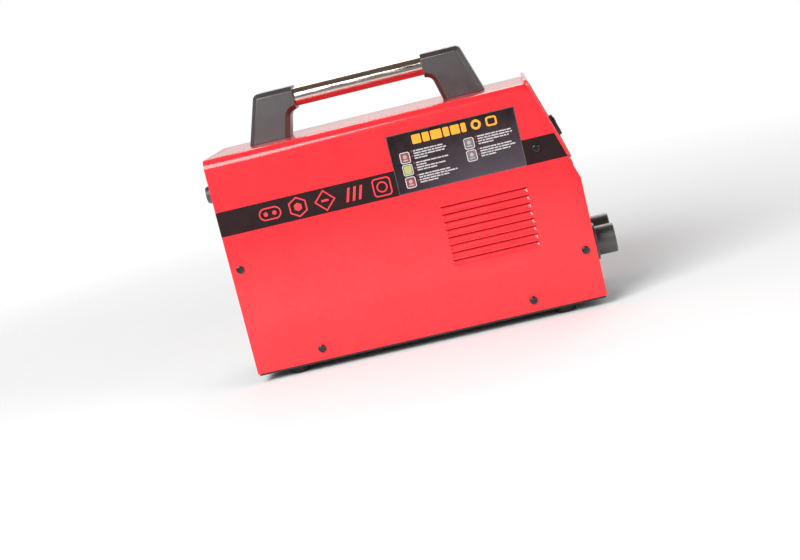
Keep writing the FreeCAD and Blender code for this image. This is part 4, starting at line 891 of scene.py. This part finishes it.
WINDOW_T = sum(span("display_window", SLOPE_DOWN, KNOB_AT)) / 2
DIAL_NUMBERS = ("20", "50", "80", "110", "140", "170", "200")
DIAL_SWEEP = 150.0
DIAL_STEP = 10
TICK_INNER = 15.2 * MM
LONG_TICK = (18.6 * MM, 0.7 * MM)
SHORT_TICK = (17.2 * MM, 0.4 * MM)
NUMBER_REACH_U = 22.6 * MM
NUMBER_REACH_V = 21.7 * MM
TEXT_H = 3.4 * MM
FONT_SIZE_FOR_HEIGHT = 1.38


def on_slope(node):
    """Places u to the reader's right of the knob's axis, v up the slope and n above a node's highest face."""
    top_n = span(node, SLOPE_OUT, KNOB_AT)[1]

    def place(u, v, n):
        return KNOB_AT + Vector((0, 1, 0)) * u - SLOPE_DOWN * v + SLOPE_OUT * (top_n + n)
    return place


def dial_ticks(form, place):
    """Ticks round the knob, with a long one at each number."""
    for k in range(int(2 * DIAL_SWEEP / DIAL_STEP) + 1):
        outer, width = LONG_TICK if k % 5 == 0 else SHORT_TICK
        angle = math.radians(-DIAL_SWEEP + DIAL_STEP * k)
        tick = [(-width / 2, TICK_INNER), (width / 2, TICK_INNER), (width / 2, outer), (-width / 2, outer)]
        prism(form, turned(tick, -angle), place)


def letter_mesh(text, height):
    """Thin solid of a short text, centred on the origin."""
    curve = bpy.data.curves.new("numeral", "FONT")
    curve.body = text
    curve.size = height * FONT_SIZE_FOR_HEIGHT
    curve.align_x = "CENTER"
    curve.align_y = "CENTER"
    curve.extrude = INK / 2 + SUNK / 2
    curve.resolution_u = 4
    holder = bpy.data.objects.new("numeral", curve)
    mesh = bpy.data.meshes.new_from_object(holder)
    bpy.data.objects.remove(holder)
    return mesh


def dial_numbers(form, place):
    """Amperes round the dial, from the low stop to the high one."""
    for k, number in enumerate(DIAL_NUMBERS):
        angle = math.radians(-DIAL_SWEEP + 2 * DIAL_SWEEP * k / (len(DIAL_NUMBERS) - 1))
        centre = (NUMBER_REACH_U * math.sin(angle), NUMBER_REACH_V * math.cos(angle))
        mesh = letter_mesh(number, TEXT_H)
        before = len(form.verts)
        form.from_mesh(mesh)
        form.verts.ensure_lookup_table()
        for vertex in form.verts[before:]:
            u, v, n = vertex.co
            vertex.co = place(u + centre[0], v + centre[1], n + (INK - SUNK) / 2)
        bpy.data.meshes.remove(mesh)
    bmesh.ops.remove_doubles(form, verts=form.verts, dist=WELD)


def panel_lines(form, place):
    """Frame line round the whole overlay and one round the window."""
    low_t, high_t = span("fascia_overlay", SLOPE_DOWN, KNOB_AT)
    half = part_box("fascia_overlay")[1].y
    v, height = -(low_t + high_t) / 2, high_t - low_t
    ring(form, rounded(0, v, 2 * half - 3 * MM, height - 3 * MM, 2.6 * MM),
         rounded(0, v, 2 * half - 3.8 * MM, height - 3.8 * MM, 2.2 * MM), place)
    ring(form, rounded(0, -WINDOW_T, 48.8 * MM, 21.8 * MM, 2.4 * MM),
         rounded(0, -WINDOW_T, 48.0 * MM, 21.0 * MM, 2.0 * MM), place)


def lens_icons(form, place):
    """Plain signs beside the two indicator lenses: a power ring and a thermometer."""
    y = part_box("power_lens")[0].y / 2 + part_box("power_lens")[1].y / 2
    v = -WINDOW_T - 8.5 * MM
    ring(form, circle(y, v, 2.2 * MM), circle(y, v, 1.7 * MM), place)
    prism(form, rectangle(y, v + 1.6 * MM, 0.6 * MM, 2.6 * MM), place)
    prism(form, circle(-y, v - 1.2 * MM, 1.3 * MM), place)
    prism(form, rectangle(-y, v + 1.2 * MM, 0.9 * MM, 3.6 * MM), place)


def output_icons(form, place):
    """Rows of steps either side of the dial's foot: low on the left, tall on the right."""
    for side in (-1, 1):
        u, v = side * 46 * MM, -14 * MM
        size = (1.2 if side < 0 else 2.6) * MM
        for k in range(4):
            rise = size * k / 3
            prism(form, rectangle(u + (k - 1.5) * 2.6 * MM, v + rise, 1.6 * MM, 1.2 * MM + 2 * rise), place)


def digit_segments(form, place):
    """Three unlit seven-segment digits, centred in the window."""
    pitch, height, width, bar = 12.5 * MM, 13 * MM, 7 * MM, 1.3 * MM
    short_of_corner = 0.9 * bar
    long_v = height / 2 - short_of_corner
    wide_u = width - short_of_corner
    for digit in (-1, 0, 1):
        u = digit * pitch
        for v in (-height / 2, 0, height / 2):
            prism(form, segment(u, v - WINDOW_T, wide_u, bar, False), place)
        for side in (-1, 1):
            for v in (-height / 4, height / 4):
                prism(form, segment(u + side * width / 2, v - WINDOW_T, long_v, bar, True), place)
        prism(form, circle(u + width / 2 + 2 * MM, -height / 2 - WINDOW_T, 0.7 * MM, 16), place)


def pointer_line(form, place):
    """White line on the knob's cap."""
    prism(form, rectangle(0, 5.3 * MM, 1.1 * MM, 4.6 * MM), place)


def segment(u, v, length, width, upright):
    """Bar with pointed ends."""
    points = [(-length / 2, 0), (-length / 2 + width / 2, -width / 2), (length / 2 - width / 2, -width / 2),
              (length / 2, 0), (length / 2 - width / 2, width / 2), (-length / 2 + width / 2, width / 2)]
    if upright:
        points = turned(points, math.pi / 2)
    return [(u + a, v + b) for a, b in points]


def panel_graphics():
    """All print on the control panel, its display and the knob's cap."""
    overlay = [on_slope("fascia_overlay")]
    printed("dial_ticks_print", dial_ticks, overlay, WHITE_INK)
    printed("dial_numbers_print", dial_numbers, overlay, WHITE_INK)
    printed("panel_lines_print", panel_lines, overlay, RED_INK)
    printed("lens_icons_print", lens_icons, overlay, WHITE_INK)
    printed("output_icons_print", output_icons, overlay, GREY_INK)
    printed("display_digits", digit_segments, [on_slope("display_module")], SEGMENT_INK)
    printed("pointer_print", pointer_line, [on_slope("knob_cap")], WHITE_INK, "knob")


# Rear details

# The rocker's two faces, before it is turned to its rest: middle and slope, from the pivot, in millimetres
ROCKER_REST = -10.0
ROCKER_FACE_AT = (-3.9, 6.2)
ROCKER_FACE_SLANT = (2.6, -12.4)


def rocker_marks():
    """Bar and ring on the two halves of the rocker."""
    pivot = Vector(JOINTS["switch_rock"]["pos_m"])
    rest_turn = Matrix.Rotation(math.radians(ROCKER_REST), 3, "Y")
    slant = Vector((ROCKER_FACE_SLANT[0], 0, ROCKER_FACE_SLANT[1])).normalized()
    places = []
    for up in (1, -1):
        out = Vector((-abs(slant.z), 0, -slant.x * up))
        centre = Vector((ROCKER_FACE_AT[0], 0, ROCKER_FACE_AT[1] * up)) * MM

        def place(u, v, n, centre=centre, out=out):
            climb = Vector((out.z, 0, -out.x))
            return pivot + rest_turn @ (centre - Vector((0, u, 0)) + climb * v + out * n)
        places.append(place)
    form = bmesh.new()
    prism(form, rectangle(0, 0, 1.0 * MM, 5.0 * MM), places[0])
    ring(form, circle(0, 0, 2.6 * MM), circle(0, 0, 1.8 * MM), places[1])
    bmesh.ops.recalc_face_normals(form, faces=form.faces)
    return make_piece("rocker_marks", form, WHITE_INK, "rocker")


def earth_stud():
    """Threaded stud with chamfered ends."""
    low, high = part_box("ground_stud")
    centre_y, centre_z = (low.y + high.y) / 2, (low.z + high.z) / 2
    radius = (high.z - low.z) / 2
    pitch, depth, chamfer = 1.0 * MM, 0.45 * MM, 0.7 * MM
    sides, per_turn = 32, 8
    count = int((high.x - low.x) / pitch * per_turn)
    form = bmesh.new()
    rings = []
    for row in range(count + 1):
        x = low.x + (high.x - low.x) * row / count
        taper = min(1.0, min(x - low.x, high.x - x) / pitch)
        loop = []
        for k in range(sides):
            turn = 2 * math.pi * k / sides
            phase = ((x - low.x) / pitch - k / sides) % 1.0
            reach = radius - depth * abs(2 * phase - 1) - chamfer * (1 - taper)
            y, z = centre_y + reach * math.cos(turn), centre_z + reach * math.sin(turn)
            loop.append(form.verts.new((x, y, z)))
        rings.append(loop)
    for first, second in zip(rings, rings[1:]):
        walls(form, first, second)
    form.faces.new(rings[0])
    form.faces.new(rings[-1][::-1])
    bmesh.ops.recalc_face_normals(form, faces=form.faces)
    piece = make_piece("earth_stud_thread", form, SLOT_LOOKS["brass"], "case", ["ground_stud"])
    shade(piece, 50)
    return piece


# Studio, in metres

FLOOR_HALF = 1.5
FLOOR_FADE = (0.45, 1.3)
LIT_POINT = (0.0, 0.0, 0.15)
CAMERA_AT = (0.13103, -1.6225, 0.33249)
CAMERA_YAW = 5.42
CAMERA_PITCH = -9.47
CAMERA_ROLL = -13.95
CAMERA_LENS = 70.5


def studio_floor():
    """Pale floor that fades into the white backdrop."""
    form = bmesh.new()
    bmesh.ops.create_grid(form, x_segments=1, y_segments=1, size=FLOOR_HALF)
    mesh = bpy.data.meshes.new("floor")
    form.to_mesh(mesh)
    form.free()
    material, tree, shader = blank("pale_floor")
    greys = [(0.80, 0.80, 0.80), (0.83, 0.83, 0.83)]
    tree.links.new(ramp(tree, noise(tree, 0.6, 3), greys), shader.inputs["Base Color"])
    coords = tree.nodes.new("ShaderNodeTexCoord")
    reach = tree.nodes.new("ShaderNodeVectorMath")
    reach.operation = "LENGTH"
    tree.links.new(coords.outputs["Object"], reach.inputs[0])
    tree.links.new(spread(tree, reach.outputs["Value"], 1.0, 0.0, *FLOOR_FADE), shader.inputs["Alpha"])
    finish(shader, 0.9, specular=0.1)
    mesh.materials.append(material)
    floor = bpy.data.objects.new("floor", mesh)
    bpy.context.scene.collection.objects.link(floor)


def studio_world():
    """White to the camera, even to matt surfaces, and a room with a dim warm ceiling to shiny ones."""
    world = bpy.data.worlds.new("studio")
    bpy.context.scene.world = world
    world.use_nodes = True
    tree = world.node_tree
    coords = tree.nodes.new("ShaderNodeTexCoord")
    split = tree.nodes.new("ShaderNodeSeparateXYZ")
    tree.links.new(coords.outputs["Generated"], split.inputs["Vector"])
    backdrop = spread(tree, split.outputs["Y"], 0.0, 1.0, -0.1, 0.5)
    overhead = spread(tree, split.outputs["Z"], 0.0, 1.0, 0.12, 0.45)
    room = mix(tree, overhead, (0.30, 0.26, 0.25), (0.14, 0.10, 0.08))
    wall = mix(tree, overhead, (0.76, 0.75, 0.74), (0.20, 0.15, 0.13))
    light = mix(tree, backdrop, room, wall)
    seen = tree.nodes.new("ShaderNodeLightPath")
    matt = mix(tree, overhead, (0.55, 0.545, 0.54), (0.32, 0.32, 0.32))
    shown = mix(tree, seen.outputs["Is Diffuse Ray"], light, matt)
    shown = mix(tree, seen.outputs["Is Camera Ray"], shown, (1.0, 1.0, 1.0))
    tree.links.new(shown, tree.nodes["Background"].inputs["Color"])
    tree.nodes["Background"].inputs["Strength"].default_value = 1.0


def area_light(name, place, size, power):
    """White rectangular light that faces the object."""
    data = bpy.data.lights.new(name, "AREA")
    data.shape = "RECTANGLE"
    data.size, data.size_y = size
    data.energy = power
    lamp = bpy.data.objects.new(name, data)
    lamp.location = place
    lamp.rotation_mode = "QUATERNION"
    lamp.rotation_quaternion = (Vector(LIT_POINT) - Vector(place)).to_track_quat("-Z", "Y")
    bpy.context.scene.collection.objects.link(lamp)


def studio_lights():
    """Key from the rear of the camera's side, weak fill from its front, and light on the far side."""
    area_light("key", (-0.88, -1.46, 1.26), (1.4, 1.25), 52)
    area_light("fill", (1.9, -1.0, 0.9), (1.4, 1.2), 14)
    area_light("rear_fill", (0.4, 2.0, 1.5), (2.0, 1.2), 20)


def studio_camera():
    """Camera at the photograph's angle, rolled because the machine hangs at a slant there."""
    data = bpy.data.cameras.new("camera")
    data.lens = CAMERA_LENS
    data.sensor_width = 36.0
    data.clip_start, data.clip_end = 0.05, 100.0
    camera = bpy.data.objects.new("camera", data)
    yaw = Matrix.Rotation(math.radians(CAMERA_YAW), 4, "Z")
    pitch = Matrix.Rotation(math.radians(90 + CAMERA_PITCH), 4, "X")
    roll = Matrix.Rotation(math.radians(CAMERA_ROLL), 4, "Z")
    camera.matrix_world = Matrix.Translation(CAMERA_AT) @ yaw @ pitch @ roll
    bpy.context.scene.collection.objects.link(camera)
    bpy.context.scene.camera = camera


studio_camera()
studio_floor()
studio_world()
studio_lights()
bpy.context.scene.view_settings.view_transform = "Standard"

cover()
handle_post("handle_post_front", 1)
handle_post("handle_post_rear", -1)
side_graphics()
panel_graphics()
rocker_marks()
earth_stud()
